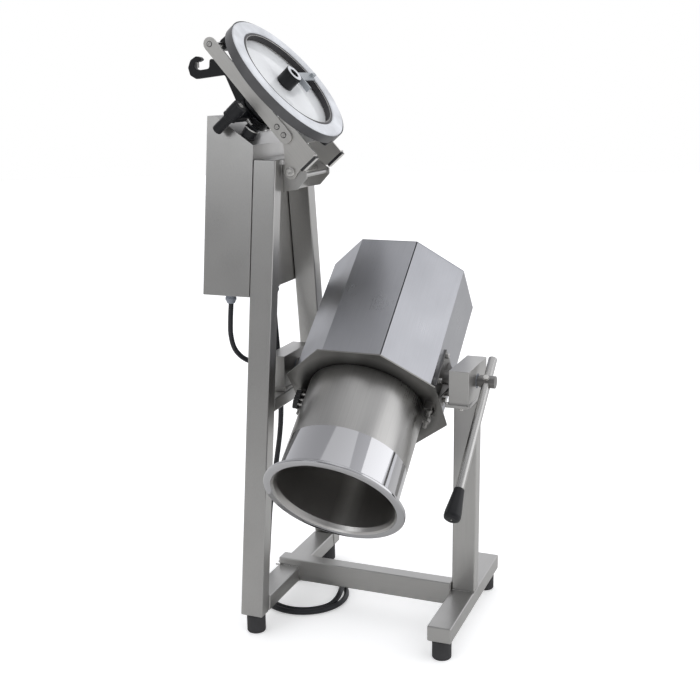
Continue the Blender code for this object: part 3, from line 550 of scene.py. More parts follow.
def weld(name, points, radius, body, frame_of=STAND, slot="brushed_steel"):
    """A weld bead: a rippled fillet along a line of points."""
    route = []
    for start, end in zip(points, points[1:]):
        start, end = Vector(start), Vector(end)
        count = max(2, int((end - start).length / 0.0022))
        route += [start.lerp(end, k / count) for k in range(count)]
    route.append(Vector(points[-1]))
    curve, spline = round_bar(name, route, radius, 3)
    for k, point in enumerate(spline.points):
        point.radius = 0.86 + 0.14 * (k % 2)
    return piece(name, curve, frame_of, body, ROD_STEEL, slot)


# ---------------------------------------------------------------- camera
# The camera stands in front and to the right, a little above the bowl, looking slightly down.
CAMERA_AT = Vector((0.9594, -2.6114, 1.3819))
AZIMUTH, ELEVATION, ROLL = radians(21.5124), radians(13.6435), radians(-0.6408)
back = Vector((sin(AZIMUTH) * cos(ELEVATION), -cos(AZIMUTH) * cos(ELEVATION), sin(ELEVATION)))
level = Vector((0, 0, 1)).cross(back).normalized()
upright = back.cross(level)
right = cos(ROLL) * level + sin(ROLL) * upright
above = -sin(ROLL) * level + cos(ROLL) * upright
camera_data = bpy.data.cameras.new("camera")
camera_data.sensor_width = 36.0
camera_data.lens = 57.876
camera = bpy.data.objects.new("camera", camera_data)
bpy.context.scene.collection.objects.link(camera)
camera.matrix_world = Matrix.Translation(STAND @ CAMERA_AT) @ Matrix(
    (right, above, back)).transposed().to_4x4()
bpy.context.scene.camera = camera

# ---------------------------------------------------------------- cables
FLOOR = MAINS_R + 0.0002
cable_top = 0.8277
MAINS_ROUTE = [(-0.300, 0.040, cable_top), (-0.300, 0.040, 0.775), (-0.293, 0.037, 0.690),
               (-0.285, 0.034, 0.590), (-0.287, 0.032, 0.470), (-0.305, 0.031, 0.345),
               (-0.325, 0.033, 0.230), (-0.333, 0.034, 0.150), (-0.335, 0.028, 0.092),
               (-0.3345, 0.009, 0.043), (-0.3305, -0.024, 0.015), (-0.3217, -0.0582, FLOOR)]
END_ROUTE = [(-0.2050, 0.1150, 0.0095), (-0.2350, 0.1190, 0.0130), (-0.2600, 0.1200, 0.0179),
             (-0.2740, 0.1200, 0.0182)]
HUMP = 0.0150                             # the lead's rise where it passes over itself
# angle along the coil in degrees, radius of the turn, height above the floor
COIL_STATIONS = [(200, 0.1271, 0.0), (245, COIL_OUTER, 0.0), (420, COIL_OUTER, 0.0),
                 (500, COIL_INNER, 0.0), (690, COIL_INNER, 0.0), (738, COIL_INNER, HUMP),
                 (768, 0.1195, HUMP), (795, 0.1290, 0.0070)]


def eased(stations, angle, column):
    """A station's value, eased from each station to the following one."""
    for before, after in zip(stations, stations[1:]):
        if angle <= after[0]:
            t = max(0.0, (angle - before[0]) / (after[0] - before[0]))
            return before[column] + (after[column] - before[column]) * t * t * (3 - 2 * t)
    return stations[-1][column]


def coil_point(angle):
    radius, rise = (eased(COIL_STATIONS, angle, column) for column in (1, 2))
    return (COIL_CENTRE[0] + radius * cos(radians(angle)),
            COIL_CENTRE[1] + radius * sin(radians(angle)), FLOOR + rise)


coil_points = [coil_point(angle) for angle in range(215, 796, 10)]
lead_points = smooth_route(MAINS_ROUTE + coil_points + END_ROUTE, 4)
lead = cable("mains_lead", lead_points, MAINS_R, STAND, "stand", SHEATH, "cable_black",
             "mains_cable", "mains_coil", "mains_cable_end")


def gland(name, node, top, cable_radius):
    """Cable gland: lock nut, ridged body and a tapered rubber sleeve."""
    bm = bmesh.new()
    add_prism(bm, 6, 0.0170, -0.0068, -0.0004, Matrix(), 0.0008)
    body = [(0.0128, -0.0068), (0.0128, -0.0110), (0.0140, -0.0120), (0.0140, -0.0178),
            (0.0125, -0.0192), (0.0098, -0.0264), (cable_radius + 0.0004, -0.0264),
            (cable_radius + 0.0004, -0.0068)]
    add_turned(bm, rounded(body, 0.0006, 2), Matrix(), 48)
    return piece(name, mesh_from(bm, name), STAND @ Matrix.Translation(top), "stand", GREY,
                 "grey_plastic", node)


BOX_LOW = 0.8545
mains_gland = gland("mains_gland", "cable_gland_mains", (-0.300, 0.040, BOX_LOW), MAINS_R)
gland("motor_gland", "cable_gland_motor", (-0.347, -0.115, BOX_LOW), MOTOR_CABLE_R)

PLUG_AT = STAND @ Matrix.Translation((-0.2748, 0.1200, 0.0182)) @ Matrix.Rotation(-pi / 2, 4, "Y")


def mains_plug():
    """Moulded plug: ridged sleeve, grip with finger rings, face and two round pins."""
    profile = [(0.0072, 0.0), (0.0090, 0.0010)]
    for k in range(4):
        z = 0.0030 + 0.0028 * k
        profile += [(0.0094 + 0.0003 * k, z), (0.0084 + 0.0003 * k, z + 0.0012)]
    profile += [(0.0118, 0.0160), (0.0152, 0.0205)]
    for k in range(3):
        z = 0.0240 + 0.0050 * k
        profile += [(0.0176, z), (0.0163, z + 0.0025)]
    profile += [(0.0180, 0.0400), (0.0180, 0.0572), (0.0168, 0.0580), (0, 0.0580), (0, 0.0)]
    bm = bmesh.new()
    add_turned(bm, profile, Matrix(), 48)
    made = piece("plug_body", mesh_from(bm, "plug_body"), PLUG_AT, "stand", BLACK,
                 "black_plastic", "mains_plug")
    bm = bmesh.new()
    for side in (-0.0095, 0.0095):
        pin = [(0.0014, 0.0766), (0.0024, 0.0752), (0.0024, 0.0580), (0, 0.0580), (0, 0.0766)]
        add_turned(bm, pin, Matrix.Translation((0, side, 0)), 20)
    pins = piece("plug_pins", mesh_from(bm, "plug_pins"), PLUG_AT, "stand", BRIGHT, "bowl_steel")
    return made, pins


plug_body, plug_pins = mains_plug()

MOTOR_ROUTE = [(-0.347, -0.115, cable_top), (-0.350, -0.116, 0.785), (-0.351, -0.115, 0.745),
               (-0.347, -0.106, 0.709), (-0.338, -0.087, 0.683), (-0.326, -0.061, 0.665),
               (-0.313, -0.034, 0.6555), (-0.301, -0.012, 0.6510), (-0.289, -0.001, 0.6490),
               (-0.2780, 0.0, TILT.z)]
cable("motor_lead", smooth_route(MOTOR_ROUTE, 8), MOTOR_CABLE_R, STAND, "stand", SHEATH,
      "cable_black", "motor_cable")


# ---------------------------------------------------------------- stand
def local_box(node, place=STAND):
    """A node's corners in the stand frame."""
    low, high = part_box(node)
    inverse = place.inverted()
    return inverse @ low, inverse @ high


def leg(node, name, side):
    """A leaning tube, cut level at both ends; side is -1 at the front and 1 at the rear."""
    low, high = local_box(node)
    foot = abs(low.y if side < 0 else high.y)
    top = foot - LEAN * (high.z - low.z)
    outline = [(side * foot, low.z), (side * (foot - TUBE_DEEP), low.z),
               (side * (top - TUBE_DEEP), high.z), (side * top, high.z)]
    extruded(name, outline, -OUTER, -INNER, "YZ", STAND, "stand", STEEL_Z, "brushed_steel", node)


def rail(node, name, leans, material):
    """A tube whose ends lean with the legs, or a straight one, from the node's own corners."""
    low, high = local_box(node)
    shift = LEAN * (high.z - low.z) if leans else 0.0
    outline = [(low.y, low.z), (high.y, low.z), (high.y - shift, high.z), (low.y + shift, high.z)]
    extruded(name, outline, low.x, high.x, "YZ", STAND, "stand", material, "brushed_steel", node)


leg("left_front_leg", "leg_front", -1)
leg("left_rear_leg", "leg_rear", 1)
rail("left_top_rail", "top_rail", True, STEEL_Y)
rail("left_bearing_beam", "bearing_beam", True, STEEL_Y)
rail("left_base_rail", "base_rail_left", True, STEEL_Y)
rail("right_base_rail", "base_rail_right", False, STEEL_Y)
rail("right_column", "column", False, STEEL_Z)

RAIL_TOP = 0.090
low, high = local_box("cross_member")
cross_outline = [(low.x, RAIL_TOP + GAP), (-INNER + GAP, RAIL_TOP + GAP), (-INNER + GAP, low.z),
                 (high.x, low.z), (high.x, high.z), (low.x, high.z)]
extruded("cross_tube", cross_outline, low.y, high.y, "XZ", STAND, "stand", STEEL_X,
         "brushed_steel", "cross_member")

FOOT_R, FOOT_HIGH = 0.024, 0.0497
foot_profile = [(FOOT_R * 0.94, FOOT_HIGH), (FOOT_R, FOOT_HIGH - 0.003), (FOOT_R, 0.0075),
                (FOOT_R - 0.0006, 0.0068), (FOOT_R - 0.0006, 0.0058), (FOOT_R, 0.0050),
                (FOOT_R, 0.0030), (FOOT_R * 0.93, 0.0), (0.003, 0.0), (0.003, FOOT_HIGH)]
for node in ("foot_left_front", "foot_left_rear", "foot_right_front", "foot_right_rear"):
    low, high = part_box(node)
    turned("rubber_" + node, foot_profile, Matrix.Translation(((low.x + high.x) / 2,
           (low.y + high.y) / 2, 0)), "stand", RUBBER, "black_rubber", node, radius=0.0012)

WELD = 0.0016
low, high = local_box("right_column")
weld("weld_column", [(low.x, low.y, low.z), (high.x, low.y, low.z), (high.x, high.y, low.z),
                     (low.x, high.y, low.z), (low.x, low.y, low.z)], WELD, "stand")
low, high = local_box("cross_member")
weld("weld_cross_left", [(-INNER, low.y, low.z + 0.004), (-INNER, low.y, RAIL_TOP),
                         (-OUTER + 0.012, low.y, RAIL_TOP)], WELD, "stand")
weld("weld_cross_right", [(INNER, low.y, RAIL_TOP), (INNER, low.y, low.z + 0.004)], WELD, "stand")

# ---------------------------------------------------------------- bearings
for side in ("left", "right"):
    softened("bearing_housing_" + side, STAND, STEEL_Y, "brushed_steel", 0.0014, 3)
    sign = -1 if side == "left" else 1
    bush = [(0.0182, 0.2684), (0.0182, 0.2178), (0.0127, 0.2178), (0.0127, 0.2684)]
    turned("bush_" + side, bush, Matrix.Translation(TILT) @ Matrix.Rotation(
        sign * pi / 2, 4, "Y"), "stand", GREY, "grey_plastic", "bearing_bush_" + side, steps=64)
SOLE_LOW, SOLE_TOP = 0.5997, 0.6077
fasteners("sole_nuts", acorn_nut, [((0.243, y, SOLE_LOW), (0, 0, -1)) for y in (-0.058, 0.058)],
          "stand", STAND, across=0.015)
fasteners("sole_bolts", hex_bolt, [((x, y, SOLE_TOP), (0, 0, 1)) for x in (0.2155, -0.2155)
                                   for y in (-0.0868, 0.0868)], "stand", STAND,
          across=0.0075, high=0.0035)

# ---------------------------------------------------------------- bowl
bowl_profile_out = [(RIM_R - 0.0022, BOWL_RIM - 0.0002), (RIM_R, BOWL_RIM - 0.0025),
                    (RIM_R, BOWL_RIM - 0.0078), (RIM_R - 0.0022, BOWL_RIM - 0.0100),
                    (BOWL_R + 0.0055, BOWL_RIM - 0.0100), (BOWL_R, BOWL_RIM - 0.0155),
                    (BOWL_R, BAND_LOW), (BOWL_R, COLLAR_HIGH + GAP)]
bowl_profile_in = [(BOWL_INNER, COLLAR_HIGH + GAP), (BOWL_INNER, BOWL_FLOOR - 0.003),
                   (0.020, BOWL_FLOOR - 0.003), (0.020, BOWL_FLOOR), (BOWL_R - 0.013, BOWL_FLOOR),
                   (BOWL_INNER, BOWL_FLOOR + 0.011), (BOWL_INNER, BOWL_RIM - 0.016),
                   (LIP_R - 0.005, BOWL_RIM - 0.005), (LIP_R, BOWL_RIM - 0.0002)]


def make_bowl():
    """One turned shell with two materials: the outside and rim, and the inside."""
    made = turned("bowl_shell", bowl_profile_out + bowl_profile_in, BOWL, "bowl_unit", BOWL_OUT,
                  "bowl_steel", "bowl", radius=0.0024, steps=160)
    made.data.materials.append(BOWL_IN)
    for face in made.data.polygons:
        centre, normal = face.center, face.normal
        outward = Vector((centre.x, centre.y, 0)).normalized()
        radius = Vector((centre.x, centre.y)).length
        if radius < LIP_R - 0.001 and (normal.dot(outward) < 0.2 or radius < BOWL_INNER - 0.002):
            face.material_index = 1
    return made


make_bowl()
softened("collar_plate", BOWL, COLLAR_STEEL, "dark_steel", 0.0006, 2)
for node in ("housing_cover_right", "housing_cover_left"):
    softened(node, BOWL, HOUSING_STEEL, "brushed_steel", 0.0006, 2)
softened("housing_end_cap", BOWL, HOUSING_STEEL, "brushed_steel", 0.0007, 2)
for node in ("trunnion_left", "trunnion_right"):
    softened(node, BOWL, DARK_STEEL, "dark_steel", 0.0006, 2)

bracket_bolts = [((side * (HOUSING_FLAT + 0.004), y, s), (side, 0, 0)) for side in (-1, 1)
                 for y, s in ((-0.034, -0.044), (0.034, -0.044), (0.034, 0.034), (-0.034, 0.044))]
fasteners("bracket_bolts", hex_bolt, bracket_bolts, "bowl_unit", BOWL, across=0.0125)
fasteners("lever_bolt", hex_bolt, [((LEVER_X, 0.0148, 0), (0, 1, 0))], "bowl_unit", BOWL,
          across=0.0130, high=0.0050)

LEVER = BOWL @ Matrix.Translation((LEVER_X, 0, 0))
lever_profile = [(LEVER_R, 0.3088), (LEVER_R, -0.071), (0, -0.071), (0, 0.3088)]
turned("lever_bar", lever_profile, LEVER, "bowl_unit", ROD_STEEL, "brushed_steel", "tilt_lever",
       radius=0.0010)
grip_profile = [(0.0026, 0.3905), (0.0046, 0.3918), (0.0130, 0.3912), (0.0185, 0.3880),
                (0.0203, 0.3820), (0.0198, 0.3700), (0.0157, 0.3380), (0.0134, 0.3180),
                (0.0128, 0.3110), (0.0122, 0.3093), (0, 0.3093), (0, 0.3880), (0.0022, 0.3880)]
turned("lever_handle", grip_profile, LEVER, "bowl_unit", BLACK, "black_plastic", "lever_grip",
       radius=0.0016)
turned("lever_grip_screw", [(0.0020, 0.3912), (0.0022, 0.3882), (0, 0.3882), (0, 0.3916)],
       LEVER, "bowl_unit", BRIGHT, "bowl_steel", radius=0, steps=24)

softened("motor", BOWL, MOTOR_PAINT, "motor_grey", 0.0012, 2)

# ---------------------------------------------------------------- tilt lock and latches
PLUNGER = (-0.026, 0.022)                 # y and z of the plunger's axis in the bowl frame
plunger_profile = [(0.0082, 0.0005), (0.0090, 0.0018), (0.0090, 0.0035), (0.0082, 0.0042),
                   (0.0082, 0.0054), (0.0090, 0.0060), (0.0090, 0.0120), (0.0080, 0.0133),
                   (0.0035, 0.0135), (0.0035, 0.0197), (0.0028, 0.0205), (0, 0.0205), (0, 0.0005)]
turned("lock_knob", plunger_profile, BOWL @ facing((0.1905, *PLUNGER), (1, 0, 0)), "tilt_lock",
       BLACK, "black_plastic", "index_plunger", radius=0.0004)


def latch_place(sign):
    return BOWL @ Matrix.Translation((sign * 0.168, 0, 0.100))


def swing_latch(side_name, sign):
    """Swing bolt: eye, threaded stem, washer and nut."""
    bm = bmesh.new()
    eye = [(0.0075, 0.0070), (0.0075, -0.0070), (0.0062, -0.0085), (0, -0.0085), (0, 0.0085),
           (0.0062, 0.0085)]
    add_turned(bm, rounded(eye, 0.0006, 2), Matrix.Rotation(-pi / 2, 4, "X"), 40)
    thread = [(0.0042, 0.0)]
    ridge = 0.0012
    for k in range(38):
        thread += [(0.0050, 0.0060 + ridge * k), (0.0044, 0.0060 + ridge * (k + 0.5))]
    thread += [(0.0036, 0.0520), (0, 0.0520), (0, 0.0)]
    add_turned(bm, thread, Matrix(), 28)
    add_turned(bm, [(0.0108, 0.0260), (0.0108, 0.0244), (0.0050, 0.0244), (0.0050, 0.0260)],
               Matrix(), 36)
    add_prism(bm, 6, 0.0105, 0.0262, 0.0360, Matrix(), 0.0008)
    piece("swing_bolt_" + side_name, mesh_from(bm, "swing_bolt"), latch_place(sign),
          "swing_latch_" + side_name, BOLT_STEEL, "dark_steel", "latch_" + side_name)


swing_latch("left", -1)
swing_latch("right", 1)
LATCH_LEFT = latch_place(-1)
strap = [(0.0206, 0.0040), (0.0400, 0.0040)]
for k in range(5):                        # a row of teeth along the strap's outer edge
    strap += [(0.0412, 0.0060 + 0.0075 * k), (0.0380, 0.0097 + 0.0075 * k)]
strap += [(0.0360, 0.0460), (0.0310, 0.0530), (0.0250, 0.0515), (0.0206, 0.0440)]
extruded("latch_strap", strap, -0.0060, 0.0080, "YZ", LATCH_LEFT, "swing_latch_left", RUBBER,
         "black_rubber", width=0.0008, segments=2)
fasteners("latch_strap_nuts", acorn_nut,
          [((0.0080, 0.0320, z), (1, 0, 0)) for z in (0.0110, 0.0280, 0.0420)],
          "swing_latch_left", LATCH_LEFT, across=0.0070)
pin_profile = [(0.0038, 0.0370), (0.0038, -0.0130), (0, -0.0130), (0, 0.0370)]
turned("latch_pin", pin_profile, LATCH_LEFT @ Matrix.Rotation(-pi / 2, 4, "X"),
       "swing_latch_left", BRIGHT, "dark_steel", radius=0.0005, steps=32)
pull_pin = [(0.0020, 0.0), (0.0016, 0.0030), (0.0016, 0.0270), (0.0022, 0.0280),
            (0.0018, 0.0300), (0, 0.0300), (0, 0.0)]
turned("lock_pull_pin", pull_pin, BOWL @ facing((0.2070, *PLUNGER), (0, -0.7727, 0.6347)),
       "tilt_lock", RUBBER, "black_plastic", radius=0.0003, steps=24)

# ---------------------------------------------------------------- knives
for node in ("knife_lower", "knife_upper"):
    softened(node, BOWL, BLADE_STEEL, "bowl_steel", 0.0005, 2)
hub_profile = [(0.0060, 0.1720), (0.0250, 0.1720), (0.0300, 0.1655), (0.0300, 0.1040),
               (0.0140, 0.1040), (0.0140, -0.2290), (0.003, -0.2290), (0.003, 0.1690),
               (0.0060, 0.1690)]
turned("knife_hub", hub_profile, BOWL, "blades", ROD_STEEL, "bowl_steel", "motor_shaft",
       radius=0.0012, steps=72)

# ---------------------------------------------------------------- lid
FACE_EDGE = 0.0045
ring_profile = [(RING_R - 0.0035, RING_BACK), (RING_R - 0.0020, RING_BACK - 0.0015),
                (RING_R - 0.0020, RING_FACE + FACE_EDGE), (RING_R - 0.0058, RING_FACE),
                (WINDOW_R + 0.0030, RING_FACE), (WINDOW_R, RING_FACE + 0.0025),
                (WINDOW_R, RING_BACK)]
turned("lid_rim", ring_profile, DISC, "lid", WHITE, "white_plastic", "lid_ring", radius=0.0022,
       steps=160)
# the ring's outer band, coloured near black: a painted reflection of its satin metal side
band_profile = [(RING_R - 0.0034, RING_BACK + 0.0022), (RING_R, RING_BACK + 0.0008),
                (RING_R, RING_FACE + 0.0032), (RING_R - 0.0010, RING_FACE + 0.0026),
                (RING_R - 0.0026, RING_BACK - 0.0020)]
turned("lid_outer_band", band_profile, DISC, "lid", BAND, "dark_steel", radius=0.0004,
       steps=160)
gasket_profile = [(WINDOW_R - GAP, -0.1016)]
for k in range(5):
    z = -0.1040 - 0.0034 * k
    gasket_profile += [(WINDOW_R - GAP, z), (WINDOW_R - GAP, z - 0.0028)]
lip = [(WINDOW_R - 0.0035, -0.1222), (WINDOW_R - 0.0068, -0.1208)]
ridges = []
for k in range(4):
    z = -0.1185 + 0.0042 * k
    ridges += [(WINDOW_R - 0.0058, z), (WINDOW_R - 0.0068, z + 0.0021)]
turned("lid_seal", gasket_profile + lip + ridges + [(WINDOW_R - 0.0060, -0.1016)], DISC, "lid",
       SEAL, "black_rubber", "lid_gasket", radius=0, steps=128)
for name, level in (("seal_wire_outer", -0.1204), ("seal_wire_inner", -0.1032)):
    ring = [(WINDOW_R - 0.0071 + 0.0006 * cos(radians(a)), level + 0.0006 * sin(radians(a)))
            for a in range(0, -360, -45)]
    turned(name, ring, DISC, "lid", BRIGHT, "bowl_steel", radius=0, steps=128)
window_profile = [(WINDOW_R - GAP, RING_BACK - 0.0001), (WINDOW_R - GAP, -0.1012),
                  (0.0135, -0.1012), (0.0135, RING_BACK - 0.0001)]
turned("lid_glazing", window_profile, DISC, "lid", WINDOW, "clear_plastic", "lid_window",
       radius=0.0004, steps=128)
softened("lid_bridge", LID, BLACK, "black_plastic", 0.0016, 3)
HUB_LOW, HUB_TOP = RING_BACK + 0.0126, -0.0005
hub = [(0.0395, HUB_TOP), (0.0440, HUB_TOP - 0.0045), (0.0440, -0.0120), (0.0425, -0.0130),
       (0.0425, -0.0160), (0.0440, -0.0170), (0.0440, -0.0330), (0.0385, -0.0400),
       (0.0340, -0.0460), (0.0340, -0.0640), (0.0325, -0.0650), (0.0325, -0.0690),
       (0.0340, -0.0700), (0.0340, HUB_LOW), (0.0120, HUB_LOW), (0.0120, HUB_TOP)]
turned("lid_hub", hub, DISC, "lid", BLACK, "black_plastic", "scraper_hub", radius=0.0009)

end_rod = [(0.0059, 0.0795), (0.0059, -0.0795), (0, -0.0795), (0, 0.0795)]
turned("end_rod", end_rod, LID @ facing((ARM_REACH, 0, -0.046), (0, 1, 0)), "lid", ROD_STEEL,
       "brushed_steel", "arm_end_rod", radius=0.0004, steps=48)
for node in ("lid_side_plate_front", "lid_side_plate_rear", "lid_arm_front", "lid_arm_rear"):
    softened(node, LID, PLATE_STEEL, "brushed_steel", 0.0007, 2)


def shade_ring(bm, where):
    """A thin dark ring round a screw head."""
    add_turned(bm, [(0.0074, 0.0004), (0.0074, 0.0), (0.0058, 0.0), (0.0058, 0.0004)], where, 32)


for name, side in (("front", -1), ("rear", 1)):
    arm_screws = [((u, side * ARM_OUT, v), (0, side, 0))
                  for u, v in ((0.102, -0.048), (0.076, -0.048), (ARM_REACH, -0.046))]
    fasteners("arm_screw_rings_" + name, shade_ring, arm_screws, "lid", LID, RUBBER,
              "black_rubber")
    fasteners("arm_screws_" + name, slot_screw, arm_screws, "lid", LID)
    low, high = sorted((side * 0.0765, side * 0.0945))
    pad = [(low, -0.0775), (high, -0.0775), (high, -0.0285), (low, -0.0285)]
    extruded("stop_pad_" + name, pad, -0.0226, -0.0162, "YZ", LID, "lid", RUBBER,
             "black_rubber", width=0.0015)
    shim = [(low - 0.0006, -0.0782), (high + 0.0006, -0.0782), (high + 0.0006, -0.0278),
            (low - 0.0006, -0.0278)]
    extruded("stop_shim_" + name, shim, -0.0236, -0.0226, "YZ", LID, "lid", BRIGHT,
             "bowl_steel", width=0.0004, segments=2)

extruded("lid_tie_plate", [(0.038, -0.0742), (0.074, -0.0742), (0.074, 0.0742),
                           (0.038, 0.0742)], -0.0600, -0.0560, "XY", LID, "lid", PLATE_STEEL,
         "brushed_steel", width=0.0008, segments=2)

# ---------------------------------------------------------------- scraper
crank_disc = [(0.0445, 0.0235), (0.0455, 0.0215), (0.0455, 0.0140), (0.0440, 0.0130),
              (0.0440, 0.0115), (0.0455, 0.0105), (0.0455, 0.0003), (0, 0.0003), (0, 0.0235)]
turned("crank_disc", crank_disc, DISC, "scraper", BLACK, "black_plastic", "scraper_crank",
       radius=0.0010)
CRANK_REACH = 0.130
CRANK_END = DISC @ Matrix.Translation((0, -CRANK_REACH, 0))
crank_arm = arc((0, 0), 0.017, 0, 180, 20) + arc((0, -CRANK_REACH), 0.017, 180, 360, 20)
extruded("crank_arm", crank_arm, 0.0013, 0.0163, "XY", DISC, "scraper", BLACK, "black_plastic",
         width=0.0018, segments=3)
crank_boss = [(0.0185, 0.0163), (0.0185, 0.0110), (0.0175, 0.0100), (0.0175, 0.0070),
              (0.0185, 0.0060), (0.0185, -0.0260), (0, -0.0260), (0, 0.0163)]
turned("crank_boss", crank_boss, CRANK_END, "scraper", BLACK, "black_plastic", radius=0.0012)
hook = [(0.0240, 0.0110), (0.0560, 0.0240), (0.1230, 0.0040), (0.1700, 0.0720),
        (0.1880, 0.0785), (0.2060, 0.0700), (0.2150, 0.0520), (0.2120, 0.0340),
        (0.2010, 0.0260), (0.1930, 0.0270), (0.1960, 0.0380), (0.2030, 0.0450),
        (0.1980, 0.0540), (0.1880, 0.0560), (0.1800, 0.0500), (0.1640, 0.0260),
        (0.1820, 0.0080), (0.1560, -0.0100), (0.1100, -0.0220), (0.0460, -0.0120),
        (0.0460, 0.0006), (0.0240, 0.0006)]
extruded("crank_hook", rounded(hook, 0.0080, 5), -0.0080, 0.0080, "XZ", DISC, "scraper", BLACK,
         "black_plastic", width=0.0016, segments=3)
knob = [(0.0085, 0.0660), (0.0120, 0.0635), (0.0130, 0.0590), (0.0125, 0.0215),
        (0.0138, 0.0205), (0.0138, 0.0180), (0.0128, 0.0166), (0, 0.0166), (0, 0.0660)]
turned("crank_handle", knob, CRANK_END, "scraper", BLACK, "black_plastic", "crank_knob",
       radius=0.0030)
fasteners("crank_screws", slot_screw, [((0, -CRANK_REACH, -0.0260), (0, 0, -1)),
                                       ((0, 0, 0.0235), (0, 0, 1))], "scraper", DISC,
          radius=0.0075)
hook_stud = [(0.0030, 0.0070), (0.0036, 0.0062), (0.0036, -0.0062), (0.0030, -0.0070),
             (0, -0.0070), (0, 0.0070)]
turned("hook_stud", hook_stud, DISC @ facing((0.1945, 0, 0.0465), (0.7524, 0, -0.6587)),
       "scraper", BRIGHT, "bowl_steel", radius=0.0004, steps=32)
spindle = [(0.0100, -0.0002), (0.0100, -0.1020), (0.0235, -0.1020), (0.0235, -0.1398),
           (0.0110, -0.1398), (0.0110, -0.1250), (0.0020, -0.1250), (0.0020, -0.0002)]
turned("scraper_shaft", spindle, DISC, "scraper", BLACK, "black_plastic", "scraper_spindle",
       radius=0.0010)
bore_ring = [(0.0222, -0.1394), (0.0222, -0.1406), (0.0130, -0.1406), (0.0130, -0.1394)]
turned("scraper_bore_ring", bore_ring, DISC, "scraper", WHITE, "white_plastic", radius=0.0003)
softened("scraper_blade", DISC, SCRAPER, "grey_plastic", 0.0008, 2)
fasteners("blade_bolts", hex_bolt, [((0, y, -0.1250), (0, 0, 1)) for y in (0.126, 0.045)],
          "scraper", DISC, across=0.0080, high=0.0036)

# ---------------------------------------------------------------- hinge
softened("hinge_bracket", STAND, STEEL_Y, "brushed_steel", 0.0008, 2)
pin = [(0.0105, 0.0865), (0.0120, 0.0850), (0.0120, 0.0799), (0.0070, 0.0799), (0.0070, 0.0690),
       (0.0105, 0.0690), (0.0105, -0.0690), (0.0070, -0.0690), (0.0070, -0.0799),
       (0.0120, -0.0799), (0.0120, -0.0850), (0.0105, -0.0865), (0.0088, -0.0865),
       (0.0082, -0.0858), (0.0074, -0.0865), (0, -0.0865), (0, 0.0865)]
turned("hinge_bolt", pin, HINGE @ Matrix.Rotation(pi / 2, 4, "X"), "stand", BRIGHT, "bowl_steel",
       "hinge_pin", radius=0.0005, steps=64)

# ---------------------------------------------------------------- control box
softened("control_box", STAND, STEEL_Z, "brushed_steel", 0.0007, 2)
softened("control_box_cover", STAND, STEEL_Z, "brushed_steel", 0.0006, 2)
PANEL_RISE, PANEL_RUN = 0.0695, 0.1038    # the sloped panel, from its low edge to its high one
PANEL_SLOPE = atan2(PANEL_RISE, PANEL_RUN)
PANEL = STAND @ Matrix.Translation((-0.3261, 0, 1.25725)) @ Matrix.Rotation(PANEL_SLOPE, 4, "Y")
cap = [(0.0098, 0.0080), (0.0110, 0.0068), (0.0110, -0.0050), (0, -0.0050), (0, 0.0074),
       (0.0060, 0.0074)]
bezel = [(0.0150, 0.0022), (0.0158, 0.0012), (0.0158, 0.0), (0.0116, 0.0), (0.0116, 0.0022)]
for name, y in (("start", 0.045), ("stop", 0.075)):
    place = PANEL @ Matrix.Translation((0, y, 0))
    turned(name + "_button_cap", cap, place, name + "_switch", BLACK, "black_plastic",
           name + "_button", radius=0.0006, steps=64)
    turned(name + "_button_bezel", bezel, place, "stand", BRIGHT, "bowl_steel", radius=0.0004,
           steps=64)
softened("speed_selector", PANEL, BLACK, "black_plastic", 0.0008, 2)
SELECTOR = PANEL @ Matrix.Translation((0.030, -0.085, 0))
selector_ring = [(0.0172, 0.0256), (0.0186, 0.0244), (0.0186, 0.0226), (0.0150, 0.0226),
                 (0.0150, 0.0256)]
turned("selector_ring", selector_ring, SELECTOR, "speed_switch", BRIGHT, "bowl_steel",
       radius=0.0004, steps=64)
lever = [(0.0022, 0.0185), (0.0042, 0.0168), (0.0036, 0.0030), (0.0046, 0.0), (0, 0.0),
         (0, 0.0185)]
turned("selector_lever", lever, SELECTOR @ facing((-0.006, 0, 0.0300), (-0.93, 0, 0.36)),
       "speed_switch", BRIGHT, "bowl_steel", radius=0.0008, steps=32)

# ---------------------------------------------------------------- floor and light
# The floor looks darker in the metal's reflections than it does directly.
FLOOR_WHITE, FLOOR_IN_METAL = (0.93, 0.935, 0.95), (0.66, 0.66, 0.66)
floor_look = Look("floor", FLOOR_WHITE, 0.60, Emission_Color=(1.0, 1.0, 1.0, 1.0))
floor_look.set("Roughness", floor_look.ranged(floor_look.noise((3.0, 3.0, 3.0)), 0.55, 0.66))
in_metal = floor_look.nodes.new("ShaderNodeLightPath").outputs["Is Glossy Ray"]
floor_look.set("Base Color", floor_look.blended(in_metal, FLOOR_WHITE, FLOOR_IN_METAL))
floor_look.set("Emission Strength", floor_look.ranged(in_metal, 0.30, 0.0, 0.0, 1.0))
FLOOR_RADIUS = 14.0
bm = bmesh.new()
bmesh.ops.create_circle(bm, cap_ends=True, segments=96, radius=FLOOR_RADIUS)
bmesh.ops.translate(bm, verts=bm.verts, vec=(0, 0, -0.0001))
floor_mesh = mesh_from(bm, "floor")
floor_mesh.materials.append(floor_look.material)
floor = bpy.data.objects.new("floor", floor_mesh)
bpy.context.scene.collection.objects.link(floor)
floor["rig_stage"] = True

middle = (cad_low + cad_high) / 2


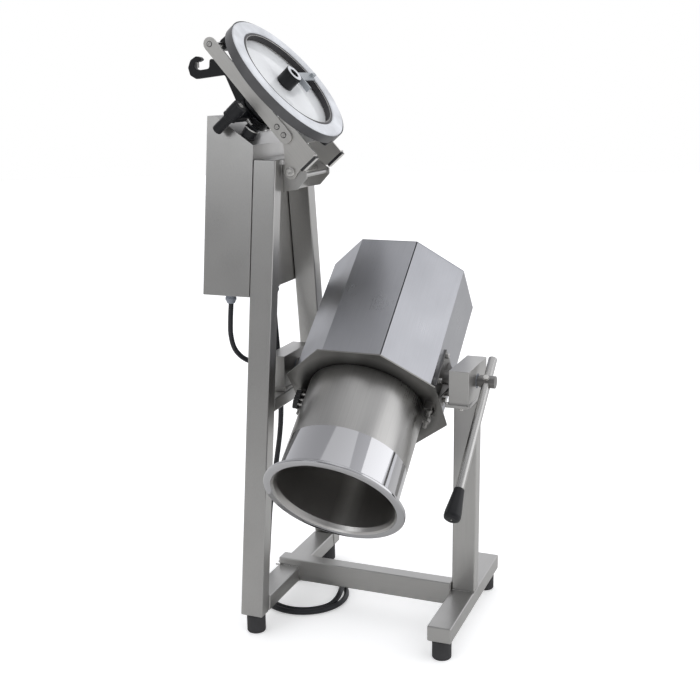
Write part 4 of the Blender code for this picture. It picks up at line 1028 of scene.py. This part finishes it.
def softbox(name, where, size, power, colour=(1.0, 1.0, 1.0)):
    """A rectangular studio light aimed at the middle of the machine."""
    data = bpy.data.lights.new(name, "AREA")
    data.shape = "RECTANGLE"
    data.size, data.size_y = size
    data.energy = power
    data.color = colour
    light = bpy.data.objects.new(name, data)
    bpy.context.scene.collection.objects.link(light)
    light.location = where
    light.rotation_euler = (middle - Vector(where)).to_track_quat("-Z", "Y").to_euler()


softbox("right_box", (3.2, 0.6, 1.8), (2.2, 3.0), 14)
softbox("top_box", (0.2, 0.4, 3.8), (3.5, 3.0), 9)
softbox("front_left_box", (-1.9, -3.4, 2.6), (1.8, 1.4), 12, (0.97, 0.985, 1.0))

# An even white room, whose walls look darker towards the front in the metal's reflections.
world = bpy.data.worlds.new("studio")
bpy.context.scene.world = world
world.use_nodes = True
nodes, links = world.node_tree.nodes, world.node_tree.links
direction = nodes.new("ShaderNodeTexCoord").outputs["Generated"]


def world_part(axis_weights, low, high):
    """Brightness that grows along a direction, from low to high."""
    dot = nodes.new("ShaderNodeVectorMath")
    dot.operation = "DOT_PRODUCT"
    links.new(direction, dot.inputs[0])
    dot.inputs[1].default_value = Vector(axis_weights).normalized()
    mapped = nodes.new("ShaderNodeMapRange")
    for socket, number in (("From Min", -1.0), ("From Max", 1.0), ("To Min", low),
                           ("To Max", high)):
        mapped.inputs[socket].default_value = number
    links.new(dot.outputs["Value"], mapped.inputs["Value"])
    return mapped.outputs["Result"]


room = world_part((0.35, 0.90, -0.20), 0.22, 1.05)
colour = nodes.new("ShaderNodeCombineColor")
for socket, tint in (("Red", 0.985), ("Green", 0.99), ("Blue", 1.02)):
    tinted = nodes.new("ShaderNodeMath")
    tinted.operation = "MULTIPLY"
    tinted.inputs[1].default_value = tint
    links.new(room, tinted.inputs[0])
    links.new(tinted.outputs[0], colour.inputs[socket])
ray = nodes.new("ShaderNodeLightPath")
choice = nodes.new("ShaderNodeMix")
choice.data_type = "RGBA"
links.new(ray.outputs["Is Glossy Ray"], choice.inputs[0])
choice.inputs[6].default_value = (1.0, 1.0, 1.0, 1.0)
links.new(colour.outputs[0], choice.inputs[7])
links.new(choice.outputs[2], nodes["Background"].inputs["Color"])
nodes["Background"].inputs["Strength"].default_value = 1.0
bpy.context.scene.view_settings.view_transform = "Standard"

# ---------------------------------------------------------------- sizes
low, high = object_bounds()
